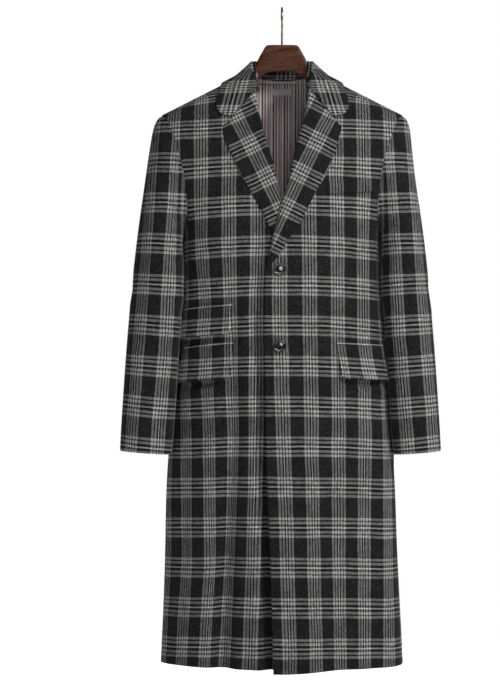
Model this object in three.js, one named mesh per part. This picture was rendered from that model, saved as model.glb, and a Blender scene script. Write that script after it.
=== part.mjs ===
// Wool overcoat hanging on a wooden hanger.
// Millimetres, +Z up, -Y is the front of the coat. The origin is the inside top of the hook,
// where a rail bears it. Side -1 is the viewer's left, side +1 the viewer's right.
import * as THREE from 'three';

// Driving sizes
const WALL = 3;                 // coating with its fusing
const LAY = 0.6;                // space under a piece that lies on a panel
const SEAM = 0.2;               // each piece stops this far short of its seam
const ARMHOLE_GAP = 0.6;        // space between the sleeve head and the body
const SLEEVE_SEAM = 0.5;        // each sleeve half stops this far short of its seams
const HEM = -1273;              // height of the hem
const TOP_FRONT_HEM_DROP = 6;   // the lapping corner hangs a little lower
const BREAK = -509;             // where the top front's lapel ends, at the top button
const UNDER_EDGE_X = 35;        // front edge of the under front, hidden behind the other
const LAPEL_RISE = 3;           // how far a lapel stands off at its roll
const GORGE_GAP = 1;            // space between lapel and collar along the gorge seam
const DEG = Math.PI / 180;

// Body sections: half width at the side, depth to the front and to the back, and how square
const BODY = [
  { z: -96, side: 12.6, front: 22, back: 32, square: 2.6 },
  { z: -121, side: 62, front: 34, back: 44, square: 2.6 },
  { z: -142, side: 103.5, front: 43, back: 52, square: 2.6 },
  { z: -170, side: 159, front: 54, back: 60, square: 2.6 },
  { z: -208, side: 234, front: 64, back: 67, square: 2.6 },
  { z: -222, side: 247, front: 68, back: 70, square: 2.6 },
  { z: -250, side: 256, front: 76, back: 74, square: 2.6 },
  { z: -300, side: 249, front: 87, back: 79, square: 2.62 },
  { z: -352, side: 228, front: 94, back: 83, square: 2.7 },
  { z: -400, side: 201, front: 98, back: 85, square: 2.95 },
  { z: -430, side: 189, front: 99, back: 85, square: 3.15 },
  { z: -500, side: 187.5, front: 100, back: 83, square: 3.2 },
  { z: -567, side: 192, front: 99, back: 81, square: 3.1 },
  { z: -645, side: 199, front: 97, back: 80, square: 2.95 },
  { z: -723, side: 204.5, front: 97, back: 82, square: 2.85 },
  { z: -800, side: 209, front: 98, back: 85, square: 2.75 },
  { z: -866, side: 215.5, front: 100, back: 89, square: 2.7 },
  { z: -940, side: 220, front: 102, back: 93, square: 2.6 },
  { z: -1050, side: 224, front: 105, back: 99, square: 2.55 },
  { z: -1170, side: 230, front: 109, back: 106, square: 2.5 },
  { z: -1285, side: 236, front: 112, back: 112, square: 2.5 },
];

// Below the chest the under front falls back to its side more evenly: its section is less square
const LEFT_FALL = { from: -480, to: -680, less: 0.95 };

// Long soft folds of the skirt: turn is degrees from the centre front, depth is inward at the hem
const SKIRT_FOLDS = [
  { turn: -31, width: 7, depth: 16, from: -650 },
  { turn: -46, width: 9, depth: -5, from: -740 },
  { turn: 31, width: 9, depth: 6, from: -800 },
  { turn: 50, width: 8, depth: 8, from: -760 },
  { turn: 128, width: 10, depth: 9, from: -720 },
  { turn: 157, width: 9, depth: -5, from: -780 },
  { turn: -132, width: 10, depth: 10, from: -740 },
  { turn: -161, width: 8, depth: 5, from: -820 },
];

// Heights of the panel rows
const SHOULDER_ROWS = [-123, -126.5, -129.3, -131, -139, -148, -162, -177, -192, -208];
const ARMHOLE_ROWS = [-208, -216, -225, -243, -263, -289, -322, -355, -390, -415, -430];
const SKIRT_ROWS = [-475, -530, -575, -620, -665, -700, -740, -810, -880, -960, -1040, -1120, -1200, HEM];
const FRONT_COLUMNS = 15;
const BACK_COLUMNS = 12;
const ARMHOLE_DRAW = 1.8;       // how much the armhole's draw on the columns dies away inwards

// Armhole: half width of the seam at each armhole row, on the front and on the back
const ARMHOLE_X = [
  { z: -208, front: 234, back: 234 },
  { z: -216, front: 226, back: 228 },
  { z: -225, front: 219, back: 222 },
  { z: -243, front: 214.5, back: 215 },
  { z: -263, front: 207, back: 209 },
  { z: -289, front: 198, back: 203 },
  { z: -322, front: 191, back: 198 },
  { z: -355, front: 186, back: 194 },
  { z: -390, front: 183.5, back: 189.5 },
  { z: -415, front: 184.5, back: 188 },
  { z: -430, front: 189, back: 189 },
];

// Inner edge of each front: neckline, roll line, then the front edge
const TOP_FRONT_EDGE = [
  { z: -123, x: 61 },
  { z: -131, x: 59 },
  { z: -148, x: 53 },
  { z: -188, x: 46.5 },
  { z: -232, x: 37 },
  { z: -265, x: 27 },
  { z: -309, x: 17 },
  { z: -345, x: 9 },
  { z: -382, x: -2 },
  { z: -438, x: -17 },
  { z: -488, x: -27 },
  { z: BREAK, x: -34 },
  { z: -646, x: -36 },
  { z: -900, x: -31 },
  { z: -1069, x: -24 },
  { z: -1285, x: -18 },
];
const UNDER_FRONT_EDGE = [
  { z: -123, x: 61 },
  { z: -131, x: 59 },
  { z: -148, x: 53 },
  { z: -198, x: 46 },
  { z: -232, x: 39 },
  { z: -259, x: 31 },
  { z: -306, x: 18 },
  { z: -331, x: 13 },
  { z: -377, x: 2 },
  { z: -425, x: -10 },
  { z: -497, x: -31 },
  { z: -540, x: -UNDER_EDGE_X },
  { z: -1285, x: -UNDER_EDGE_X },
];
const BACK_NECKLINE = [
  { z: -123, x: 60 },
  { z: -126.5, x: 51 },
  { z: -129.3, x: 36 },
  { z: -131, x: 0 },
  { z: -1285, x: 0 },
];

// The top front is lifted over what lies beneath it near the centre
const LAP = {
  from: -290, full: -375, chestLift: 8.2, hemLift: 4.6,
  chestEnd: -530, hemStart: -640, fullTo: 42, goneAt: 120,
};

// Lapels: roll point and edge point of each row, in front view
const LAPEL_UNDER = [
  { rollX: 50, rollZ: -161, edgeX: 114, edgeZ: -237 },
  { rollX: 48, rollZ: -180, edgeX: 113, edgeZ: -253 },
  { rollX: 45, rollZ: -203, edgeX: 106, edgeZ: -273 },
  { rollX: 39, rollZ: -232, edgeX: 95, edgeZ: -298 },
  { rollX: 31, rollZ: -259, edgeX: 83, edgeZ: -326 },
  { rollX: 20, rollZ: -300, edgeX: 67, edgeZ: -352 },
  { rollX: 12, rollZ: -335, edgeX: 52, edgeZ: -378 },
  { rollX: 2, rollZ: -377, edgeX: 37, edgeZ: -409 },
  { rollX: -9, rollZ: -422, edgeX: 19, edgeZ: -441 },
  { rollX: -20, rollZ: -460, edgeX: -2, edgeZ: -470 },
  { rollX: -29, rollZ: -492, edgeX: -22, edgeZ: -496 },
];
const LAPEL_TOP = [
  { rollX: 50, rollZ: -161, edgeX: 113, edgeZ: -237 },
  { rollX: 48, rollZ: -180, edgeX: 109, edgeZ: -254 },
  { rollX: 43.5, rollZ: -203, edgeX: 103, edgeZ: -279 },
  { rollX: 37, rollZ: -232, edgeX: 91, edgeZ: -308 },
  { rollX: 27, rollZ: -265, edgeX: 80, edgeZ: -334 },
  { rollX: 17, rollZ: -309, edgeX: 65, edgeZ: -359 },
  { rollX: 9, rollZ: -345, edgeX: 51, edgeZ: -387 },
  { rollX: -2, rollZ: -382, edgeX: 36, edgeZ: -419 },
  { rollX: -10, rollZ: -412, edgeX: 24, edgeZ: -437 },
  { rollX: -17, rollZ: -438, edgeX: 12, edgeZ: -453 },
  { rollX: -22, rollZ: -465, edgeX: 2, edgeZ: -470 },
  { rollX: -27, rollZ: -488, edgeX: -12, edgeZ: -491 },
  { rollX: -32, rollZ: -504, edgeX: -27, edgeZ: -506 },
];
const LAPEL_COLUMNS = 5;
// Height over which each lapel's stand-off dies away
const LAPEL_FLAT = { under: { from: -310, to: -385 }, top: { from: -400, to: -500 } };

// Collar, one half from the gorge to the centre back: fold point, edge point and its face
const COLLAR = [
  { foldX: 50, foldY: -55.3, foldZ: -160, edgeX: 97.5, edgeZ: -216.5, face: -1 },
  { foldX: 51.3, foldY: -52, foldZ: -152, edgeX: 109, edgeZ: -214, face: -1 },
  { foldX: 52.6, foldY: -49, foldZ: -145, edgeX: 120, edgeZ: -210, face: -1 },
  { foldX: 54, foldY: -44, foldZ: -136, edgeX: 127, edgeZ: -198, face: -1 },
  { foldX: 56, foldY: -35, foldZ: -123, edgeX: 125, edgeZ: -178, face: -1 },
  { foldX: 58, foldY: -22, foldZ: -109, edgeX: 119, edgeZ: -161, face: -1 },
  { foldX: 58.5, foldY: -7, foldZ: -101, edgeX: 113, edgeZ: -147, face: 0 },
  { foldX: 56, foldY: 13, foldZ: -98.5, edgeX: 104, edgeZ: -150, face: 1 },
  { foldX: 47, foldY: 32, foldZ: -97, edgeX: 80, edgeZ: -153, face: 1 },
  { foldX: 27, foldY: 45, foldZ: -96, edgeX: 43, edgeZ: -155, face: 1 },
  { foldX: 0, foldY: 49, foldZ: -96, edgeX: 0, edgeZ: -156, face: 1 },
];
const COLLAR_COLUMNS = 6;
const COLLAR_STEPS = 2;           // wall rows between two rows of the table
const COLLAR_CLEAR = 4.3;         // the leaf's outer face is this far from the shoulder
const COLLAR_FOLD_HOLLOW = 1.5;   // the leaf dips a little between fold and edge
const STAND_FIRST_ROW = 3;        // the stand begins at this collar row
const STAND_DROP = 2;             // the stand laps this far below the neckline inside
const NECK_SEAM = [
  { z: -144, x: 54, face: -1 },
  { z: -134, x: 58, face: -1 },
  { z: -127, x: 60, face: -1 },
  { z: -123, x: 65, face: 0 },
  { z: -123, x: 60, face: 1 },
  { z: -127, x: 48, face: 1 },
  { z: -130, x: 26, face: 1 },
  { z: -131, x: 0, face: 1 },
];
const NECK_CENTRE_Y = 6;
const STAND_INSET = 5;          // the stand's outer face lies this far inside the neckline

// Sleeve rings: outer point, inner point, half depth, and how far the ring sits to the front.
// own is how far the ring has left the armhole's shape.
const SLEEVE = [
  { outX: 234, outZ: -208, inX: 189, inZ: -430, depth: 60, forward: 0, own: 0 },
  { outX: 242.5, outZ: -216, inX: 190, inZ: -435, depth: 61, forward: 0, own: 0.12 },
  { outX: 249, outZ: -234, inX: 190.2, inZ: -439, depth: 64, forward: 1, own: 0.3 },
  { outX: 254, outZ: -263, inX: 190.3, inZ: -444, depth: 67, forward: 2, own: 0.5 },
  { outX: 260, outZ: -303, inX: 190.3, inZ: -451, depth: 70, forward: 3, own: 0.7 },
  { outX: 266.5, outZ: -352, inX: 190.4, inZ: -463, depth: 71, forward: 4, own: 0.88 },
  { outX: 274, outZ: -407, inX: 190.4, inZ: -481, depth: 70, forward: 5, own: 1 },
  { outX: 281.5, outZ: -468, inX: 190.6, inZ: -512, depth: 67, forward: 6, own: 1 },
  { outX: 288.5, outZ: -535, inX: 193.4, inZ: -556, depth: 63, forward: 8, own: 1 },
  { outX: 295, outZ: -605, inX: 198.4, inZ: -615, depth: 59, forward: 10, own: 1 },
  { outX: 301, outZ: -680, inX: 204, inZ: -686, depth: 55, forward: 12, own: 1 },
  { outX: 306, outZ: -755, inX: 208.8, inZ: -760, depth: 51, forward: 14, own: 1 },
  { outX: 310, outZ: -820, inX: 213.2, inZ: -824, depth: 48, forward: 15, own: 1 },
  { outX: 312, outZ: -859, inX: 217.8, inZ: -866, depth: 47, forward: 15, own: 1 },
];
const INNER_SQUARE = 2.7;         // how square a sleeve's section is on the side of the body
const SLEEVE_FRONT_SEAM = 8;      // armhole row where the front sleeve seam starts
const SLEEVE_BACK_SEAM = 6;       // armhole row where the hind sleeve seam starts

// Pockets: outer and inner ends of the top and bottom edges, in front view
const FLAPS = [
  { name: 'flap_ticket', side: -1, topOuter: [189, -590], topInner: [96, -580],
    lowOuter: [196, -643], lowInner: [100, -634], corner: 7 },
  { name: 'flap_hip_left', side: -1, topOuter: [188, -663], topInner: [95, -653],
    lowOuter: [201, -730], lowInner: [100, -720], corner: 10 },
  { name: 'flap_hip_right', side: 1, topOuter: [194, -658], topInner: [104, -654],
    lowOuter: [202, -725], lowInner: [111, -720], corner: 10 },
];
const FLAP_COLUMNS = 9;
const FLAP_ROWS = 4;
const FLAP_WALL = 3;
const FLAP_SPRING = 2.5;          // the flap's lower edge stands off
const JET = { height: 3, wall: 1.6, above: 0.5 };
const WELT = { outer: [174, -338], inner: [84, -345], height: 24, wall: 2.6 };

// Buttons on the top front
const BUTTON = { radius: 12, rim: 3.4, dish: 2.6, domeRadius: 8, x: -5.5 };
const BUTTONS = [
  { name: 'button_top', z: -511, seat: 0.6 },
  { name: 'button_bottom', z: -657, seat: 0.9 },
];

// Inside of the back that shows in the neck
const LINING = { top: -139, bottom: -440, halfWidth: 96, wall: 1 };
const TAPE = { top: -133.4, bottom: -138.2, halfWidth: 29, wall: 1 };
const LABEL_LAY = 0.7;            // space between label and lining
const LABEL = { top: -148, bottom: -160, halfWidth: 18.7, centreX: 1, wall: 0.8 };

// Hanger: rows of sections across the shoulders; top and bottom edges and half thickness
const HANGER = [
  { x: 0, top: -70, bottom: -121, half: 8 },
  { x: 20, top: -70, bottom: -122.5, half: 8 },
  { x: 29, top: -70.5, bottom: -125, half: 8 },
  { x: 33, top: -74, bottom: -127.5, half: 8 },
  { x: 40, top: -86, bottom: -133, half: 8 },
  { x: 47, top: -99, bottom: -139, half: 8 },
  { x: 50.5, top: -107, bottom: -142, half: 8 },
  { x: 52, top: -121, bottom: -144, half: 8.5 },
  { x: 56, top: -130, bottom: -147, half: 9 },
  { x: 66, top: -131, bottom: -152.5, half: 10 },
  { x: 90, top: 0, bottom: -165, half: 13 },
  { x: 125, top: 0, bottom: -183, half: 16 },
  { x: 160, top: 0, bottom: -199, half: 18 },
  { x: 190, top: 0, bottom: -210, half: 19 },
  { x: 204, top: 0, bottom: -213, half: 17 },
  { x: 210, top: -203, bottom: -211, half: 10 },
];
const HANGER_UNDER_RIDGE = 4.35;  // arms lie this far under the shoulder line
const HOOK = { wire: 4, inner: 17, tipAngle: -25, endAngle: 238, stemTop: -50, stemFoot: -69.6 };

// Photo colours
const CLOTH = { color: 0x4a4a4c, roughness: 0.95, metalness: 0 };
const FACING = { color: 0x525254, roughness: 0.95, metalness: 0 };
const JET_CLOTH = { color: 0xc8c6c0, roughness: 0.9, metalness: 0 };
const STRIPE = { color: 0xcbbfc0, roughness: 0.6, metalness: 0 };
const WHITE_TAPE = { color: 0xe4e2de, roughness: 0.7, metalness: 0 };
const HORN = { color: 0x17161a, roughness: 0.2, metalness: 0 };
const WALNUT = { color: 0x5a3120, roughness: 0.45, metalness: 0 };
const PALE_BRASS = { color: 0xc7a878, roughness: 0.3, metalness: 1 };

const clamp01 = (t) => Math.min(Math.max(t, 0), 1);
const mix = (a, b, t) => a + (b - a) * t;

function smooth(t) {
  const c = clamp01(t);
  return c * c * (3 - 2 * c);
}

// Reads a table at height z: straight between rows, carried on past the last one
function readTable(table, key, z) {
  let i = 1;
  while (i < table.length - 1 && z < table[i].z) i += 1;
  const a = table[i - 1];
  const b = table[i];
  return mix(a[key], b[key], (a.z - z) / (a.z - b.z));
}

// Reads a table as a smooth curve through its rows
function readSmooth(table, key, z) {
  let i = 1;
  while (i < table.length - 1 && z < table[i].z) i += 1;
  const before = table[Math.max(i - 2, 0)];
  const a = table[i - 1];
  const b = table[i];
  const after = table[Math.min(i + 1, table.length - 1)];
  const span = a.z - b.z;
  const t = (a.z - z) / span;
  const slopeA = (b[key] - before[key]) / (before.z - b.z);
  const slopeB = (after[key] - a[key]) / (a.z - after.z);
  const t2 = t * t;
  const t3 = t2 * t;
  return (2 * t3 - 3 * t2 + 1) * a[key] + (t3 - 2 * t2 + t) * span * slopeA
    + (3 * t2 - 2 * t3) * b[key] + (t3 - t2) * span * slopeB;
}

function bodySide(z) {
  return z > -215 ? readTable(BODY, 'side', z) : readSmooth(BODY, 'side', z);
}

// Depth of the skirt folds at a height and a turn in degrees
function foldDepth(z, turn) {
  return SKIRT_FOLDS.reduce((sum, fold) => {
    const grown = smooth((fold.from - z) / (fold.from - HEM));
    const away = (turn - fold.turn) / fold.width;
    return sum + fold.depth * grown * Math.exp(-away * away);
  }, 0);
}

function bodySquare(z, turn) {
  const share = smooth((LEFT_FALL.from - z) / (LEFT_FALL.from - LEFT_FALL.to));
  const onLeftFront = turn < 0 && turn >= -90;
  return readSmooth(BODY, 'square', z) - (onLeftFront ? LEFT_FALL.less * share : 0);
}

// Point of the body's outer surface: turn 0 is the centre front, 90 the side at +X, 180 the back
function bodySurface(z, turn) {
  const across = Math.sin(turn * DEG);
  const isFront = Math.abs(turn) <= 90;
  const depth = readSmooth(BODY, isFront ? 'front' : 'back', z) - foldDepth(z, turn);
  const square = bodySquare(z, turn);
  const away = (1 - Math.abs(across) ** square) ** (1 / square);
  return new THREE.Vector3(bodySide(z) * across, (isFront ? -1 : 1) * depth * away, z);
}

// Turn of a point that is x from the centre at height z
function turnOf(x, z, face = -1) {
  const turn = Math.asin(Math.min(Math.max(x / bodySide(z), -1), 1)) / DEG;
  return face > 0 ? Math.sign(turn || 1) * 180 - turn : turn;
}

// How far the top front is lifted over what is under it
function lapLift(x, z) {
  const toHem = smooth((LAP.chestEnd - z) / (LAP.chestEnd - LAP.hemStart));
  const height = mix(LAP.chestLift, LAP.hemLift, toHem);
  const begun = smooth((LAP.from - z) / (LAP.from - LAP.full));
  return height * begun * smooth((LAP.goneAt - x) / (LAP.goneAt - LAP.fullTo));
}

// Outward direction of a surface given as a function of height and turn
function outwardOf(surface, z, turn) {
  const around = surface(z, turn + 0.4).sub(surface(z, turn - 0.4));
  const along = surface(z - 0.5, turn).sub(surface(z + 0.5, turn));
  return around.cross(along).normalize().negate();
}

// Surface of one front, outward offset included: side -1 is the under front, +1 the top front
function frontSurface(side, z, turn, out = 0) {
  const base = (height, angle) => {
    const p = bodySurface(height, angle);
    if (side > 0) p.y -= lapLift(p.x, height);
    return p;
  };
  return base(z, turn).addScaledVector(outwardOf(base, z, turn), out);
}

function backSurface(z, turn, out = 0) {
  return bodySurface(z, turn).addScaledVector(outwardOf(bodySurface, z, turn), out);
}

// Point of one front given by its place in front view
function frontAt(side, x, z, out = 0) {
  return frontSurface(side, z, turnOf(x, z), out);
}

// Unit normals of a grid of points, from its neighbours
function gridNormals(grid) {
  const last = grid.length - 1;
  return grid.map((row, i) => row.map((point, j) => {
    const end = row.length - 1;
    const along = row[Math.min(j + 1, end)].clone().sub(row[Math.max(j - 1, 0)]);
    const down = grid[Math.min(i + 1, last)][j].clone().sub(grid[Math.max(i - 1, 0)][j]);
    return along.cross(down).normalize();
  }));
}

// Moves the rim of a grid towards its inside, so that the piece stops short of its seams
function stopShort(grid, amount) {
  const last = grid.length - 1;
  const moved = grid.map((row) => row.map((p) => p.clone()));
  const pull = (point, towards) => point.add(towards.clone().sub(point).setLength(amount));
  grid.forEach((row, i) => {
    const end = row.length - 1;
    pull(moved[i][0], row[1]);
    pull(moved[i][end], row[end - 1]);
  });
  grid[0].forEach((point, j) => {
    pull(moved[0][j], grid[1][j]);
    pull(moved[last][j], grid[last - 1][j]);
  });
  return moved;
}

// Closed wall: the grid is its outer face, the inner face lies wall behind it
function wallGeometry(grid, normals, wall) {
  const rows = grid.length;
  const cols = grid[0].length;
  const inner = grid.map((row, i) => row.map((p, j) => p.clone().addScaledVector(normals[i][j], -wall)));
  const positions = [...grid.flat(), ...inner.flat()].flatMap((p) => [p.x, p.y, p.z]);
  const outerAt = (i, j) => i * cols + j;
  const innerAt = (i, j) => rows * cols + i * cols + j;
  const index = [];
  const quad = (a, b, c, d) => index.push(a, b, c, a, c, d);
  for (let i = 0; i < rows - 1; i += 1) {
    for (let j = 0; j < cols - 1; j += 1) {
      quad(outerAt(i, j), outerAt(i, j + 1), outerAt(i + 1, j + 1), outerAt(i + 1, j));
      quad(innerAt(i, j), innerAt(i + 1, j), innerAt(i + 1, j + 1), innerAt(i, j + 1));
    }
  }
  for (let i = 0; i < rows - 1; i += 1) {
    quad(outerAt(i, 0), outerAt(i + 1, 0), innerAt(i + 1, 0), innerAt(i, 0));
    quad(outerAt(i + 1, cols - 1), outerAt(i, cols - 1), innerAt(i, cols - 1), innerAt(i + 1, cols - 1));
  }
  for (let j = 0; j < cols - 1; j += 1) {
    quad(outerAt(0, j + 1), outerAt(0, j), innerAt(0, j), innerAt(0, j + 1));
    quad(outerAt(rows - 1, j), outerAt(rows - 1, j + 1), innerAt(rows - 1, j + 1), innerAt(rows - 1, j));
  }
  return new THREE.BufferGeometry()
    .setAttribute('position', new THREE.Float32BufferAttribute(positions, 3))
    .setIndex(index);
}

const coat = new THREE.Group();

function addPiece(name, geometry, look) {
  const mesh = new THREE.Mesh(geometry, new THREE.MeshStandardMaterial(look));
  mesh.name = name;
  coat.add(mesh);
  return mesh;
}

// Adds a wall whose grid runs so that columns x rows point outwards; flip turns it round
function addWall(name, grid, { wall = WALL, look = CLOTH, short = SEAM, flip = false, normals = null }) {
  const facing = flip ? grid.map((row) => [...row].reverse()) : grid;
  const faceNormals = normals && flip ? normals.map((row) => [...row].reverse()) : normals;
  const trimmed = stopShort(facing, short);
  return addPiece(name, wallGeometry(trimmed, faceNormals ?? gridNormals(trimmed), wall), look);
}

// Turn where a panel ends on its outer side at height z
function outerTurn(z, face) {
  const inArmhole = z < ARMHOLE_ROWS[0] && z > ARMHOLE_ROWS[ARMHOLE_ROWS.length - 1];
  return inArmhole ? turnOf(readTable(ARMHOLE_X, face < 0 ? 'front' : 'back', z), z) : 90;
}

// Turns of one panel row, from its inner edge to its outer one. Columns are even to the side
// seam's turn, and the armhole draws in those near it most.
function panelTurns(inner, outer, sideTurn, columns, side) {
  return Array.from({ length: columns + 1 }, (_, j) => {
    const t = j / columns;
    return side * (mix(inner, sideTurn, t) - (sideTurn - outer) * t ** ARMHOLE_DRAW);
  });
}

const BODY_ROWS = [...SHOULDER_ROWS, ...ARMHOLE_ROWS.slice(1), ...SKIRT_ROWS];

// One front panel, with normals of the exact surface so that its seams stay parallel
function addFront(name, side, edge) {
  const hemZ = (z, x) => (z === HEM && side > 0
    ? z - TOP_FRONT_HEM_DROP * smooth((LAP.goneAt - x) / LAP.goneAt) : z);
  const grid = [];
  const normals = [];
  BODY_ROWS.forEach((z) => {
    const inner = turnOf(readTable(edge, 'x', z), z);
    const turns = panelTurns(inner, outerTurn(z, -1), 90, FRONT_COLUMNS, side);
    grid.push(turns.map((turn) => frontSurface(side, hemZ(z, bodySurface(z, turn).x), turn)));
    normals.push(turns.map((turn) => frontSurface(side, z, turn, 1).sub(frontSurface(side, z, turn))));
  });
  addWall(name, grid, { normals, flip: side > 0 });
}

function addBack(name, side) {
  const grid = [];
  const normals = [];
  BODY_ROWS.forEach((z) => {
    const inner = 180 - turnOf(readTable(BACK_NECKLINE, 'x', z), z);
    const outer = 180 - outerTurn(z, 1);
    const turns = panelTurns(inner, outer, 90, BACK_COLUMNS, side);
    grid.push(turns.map((turn) => backSurface(z, turn)));
    normals.push(turns.map((turn) => backSurface(z, turn, 1).sub(backSurface(z, turn))));
  });
  addWall(name, grid, { normals, flip: side < 0 });
}

addFront('front_left', -1, UNDER_FRONT_EDGE);
addFront('front_right', 1, TOP_FRONT_EDGE);
addBack('back_left', -1);
addBack('back_right', 1);

// Sleeves: the armhole loop runs down the front from the shoulder tip, and up the back
function armholeLoop(side) {
  const station = (row, face) => {
    const x = face < 0 ? row.front : row.back;
    const turn = turnOf(x, row.z, face) * side;
    return { point: bodySurface(row.z, turn), outward: outwardOf(bodySurface, row.z, turn) };
  };
  const down = ARMHOLE_X.map((row) => station(row, -1));
  const up = ARMHOLE_X.slice(1, -1).reverse().map((row) => station(row, 1));
  return [...down, ...up];
}

// Share of the way round half a ring at each armhole station, by length along the seam
function ringShares(loop) {
  const half = ARMHOLE_X.length - 1;
  const walk = (points) => {
    const steps = points.slice(1).map((p, k) => p.distanceTo(points[k]));
    const total = steps.reduce((a, b) => a + b, 0);
    let run = 0;
    return [0, ...steps.map((s) => { run += s; return run / total; })];
  };
  const points = loop.map((s) => s.point);
  const front = walk(points.slice(0, half + 1));
  const back = walk([points[0], ...points.slice(half).reverse()]);
  return [...front, ...back.slice(1, -1).reverse().map((share) => 2 - share)];
}

// A ring is round on its outer half and flatter where it lies along the body
function ringPoint(row, side, share) {
  const angle = share * Math.PI;
  const power = Math.cos(angle) < 0 ? 2 / INNER_SQUARE : 1;
  const rounded = (value) => Math.sign(value) * Math.abs(value) ** power;
  const middle = new THREE.Vector3((row.outX + row.inX) / 2, -row.forward, (row.outZ + row.inZ) / 2);
  const half = new THREE.Vector3((row.outX - row.inX) / 2, 0, (row.outZ - row.inZ) / 2);
  const p = middle.addScaledVector(half, rounded(Math.cos(angle)));
  p.y -= row.depth * rounded(Math.sin(angle));
  p.x *= side;
  return p;
}

function sleeveGrid(side) {
  const loop = armholeLoop(side);
  const shares = ringShares(loop);
  return SLEEVE.map((row, i) => shares.map((share, k) => {
    const own = ringPoint(row, side, share);
    const seam = loop[k].point.clone().sub(ringPoint(SLEEVE[0], side, share));
    const p = own.addScaledVector(seam, 1 - row.own);
    if (i === 0) p.x += side * ARMHOLE_GAP;
    return p;
  }));
}

// Normals of a closed ring grid; near the shoulder the first ring takes the body's own
function sleeveNormals(grid, side) {
  const loop = armholeLoop(side);
  const count = grid[0].length;
  const last = grid.length - 1;
  return grid.map((ring, i) => ring.map((_, k) => {
    const around = ring[(k + 1) % count].clone().sub(ring[(k + count - 1) % count]);
    const down = grid[Math.min(i + 1, last)][k].clone().sub(grid[Math.max(i - 1, 0)][k]);
    const normal = around.cross(down).normalize().multiplyScalar(side);
    const meetsFlush = i === 0 && normal.dot(loop[k].outward) > 0.8;
    return meetsFlush ? loop[k].outward.clone() : normal;
  }));
}

function addSleeve(label, side) {
  const grid = sleeveGrid(side);
  const normals = sleeveNormals(grid, side);
  const count = grid[0].length;
  const backSeam = count - SLEEVE_BACK_SEAM;
  const pick = (rows, from, to) => rows.map((row) => {
    const cut = [];
    for (let k = from; k <= to; k += 1) cut.push(row[(k + count) % count]);
    return cut;
  });
  const flip = side < 0;
  addWall(`sleeve_${label}_top`, pick(grid, backSeam - count, SLEEVE_FRONT_SEAM),
    { normals: pick(normals, backSeam - count, SLEEVE_FRONT_SEAM), short: SLEEVE_SEAM, flip });
  addWall(`sleeve_${label}_under`, pick(grid, SLEEVE_FRONT_SEAM, backSeam),
    { normals: pick(normals, SLEEVE_FRONT_SEAM, backSeam), short: SLEEVE_SEAM, flip });
}

addSleeve('left', -1);
addSleeve('right', 1);

// Lapels lie on their front, and stand off a little at the roll
function lapelOut(t, z, flat) {
  return LAY + WALL + LAPEL_RISE * (1 - t) ** 2 * smooth((z - flat.to) / (flat.from - flat.to));
}

function frontNormal(side, x, z) {
  return frontAt(side, x, z, 1).sub(frontAt(side, x, z));
}

function addLapel(name, side, rows, flat) {
  const grid = rows.map((row, i) => Array.from({ length: LAPEL_COLUMNS + 1 }, (_, j) => {
    const t = j / LAPEL_COLUMNS;
    const z = mix(row.rollZ, row.edgeZ, t) - (i === 0 ? GORGE_GAP : 0);
    return frontAt(side, side * mix(row.rollX, row.edgeX, t), z, lapelOut(t, z, flat));
  }));
  const normals = gridNormals(grid).map((row, i) => row.map((normal, j) => {
    const p = grid[i][j];
    return i === 0 ? frontNormal(side, p.x, p.z) : normal.multiplyScalar(-side);
  }));
  addWall(name, grid, { look: FACING, flip: side > 0, normals });
}

addLapel('lapel_left', -1, LAPEL_UNDER, LAPEL_FLAT.under);
addLapel('lapel_right', 1, LAPEL_TOP, LAPEL_FLAT.top);

// How far outside the body's oval a point is: 0 on it, growing evenly away from it
function bodyClearance(p) {
  const square = readSmooth(BODY, 'square', p.z);
  const depth = readSmooth(BODY, p.y < 0 ? 'front' : 'back', p.z);
  const across = (Math.abs(p.x) / bodySide(p.z)) ** square;
  return (across + (Math.abs(p.y) / depth) ** square) ** (1 / square) - 1;
}

// Pushes a point out of the body until it is clear by the given distance
function pushClear(point, clear) {
  const p = point.clone();
  const step = 0.5;
  for (let k = 0; k < 6; k += 1) {
    const value = bodyClearance(p);
    const slope = new THREE.Vector3(
      bodyClearance(p.clone().add(new THREE.Vector3(step, 0, 0))) - value,
      bodyClearance(p.clone().add(new THREE.Vector3(0, step, 0))) - value,
      bodyClearance(p.clone().add(new THREE.Vector3(0, 0, step))) - value,
    ).divideScalar(step);
    const distance = value / slope.length();
    if (distance < clear) p.addScaledVector(slope.normalize(), clear - distance);
  }
  return p;
}

// Mirrors half a table about the centre back: the last row is the centre itself
function bothHalves(half, point) {
  const left = half.map((row) => point(row, -1));
  const right = half.slice(0, -1).reverse().map((row) => point(row, 1));
  return [...left, ...right];
}

function collarEdgePoint(row, side) {
  if (row.face === 0) return new THREE.Vector3(side * row.edgeX, 0, row.edgeZ);
  const turn = turnOf(row.edgeX, row.edgeZ, row.face) * side;
  return bodySurface(row.edgeZ, turn);
}

// Carries a row of points on to finer rows along smooth curves
function finer(points, steps) {
  const curve = new THREE.CatmullRomCurve3(points, false, 'centripetal');
  return Array.from({ length: (points.length - 1) * steps + 1 }, (_, i) => (
    i % steps ? curve.getPoint(i / ((points.length - 1) * steps)) : points[i / steps].clone()));
}

// The leaf's gorge end lies on its front just as the lapel does
function gorgeRow(row, side) {
  return Array.from({ length: COLLAR_COLUMNS + 1 }, (_, j) => {
    const t = j / COLLAR_COLUMNS;
    const x = side * mix(row.foldX, row.edgeX, t);
    const z = mix(row.foldZ, row.edgeZ, t);
    const out = lapelOut(t * row.edgeX / LAPEL_TOP[0].edgeX, z, LAPEL_FLAT.top);
    return { point: frontAt(side, x, z, out), normal: frontNormal(side, x, z) };
  });
}

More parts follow.
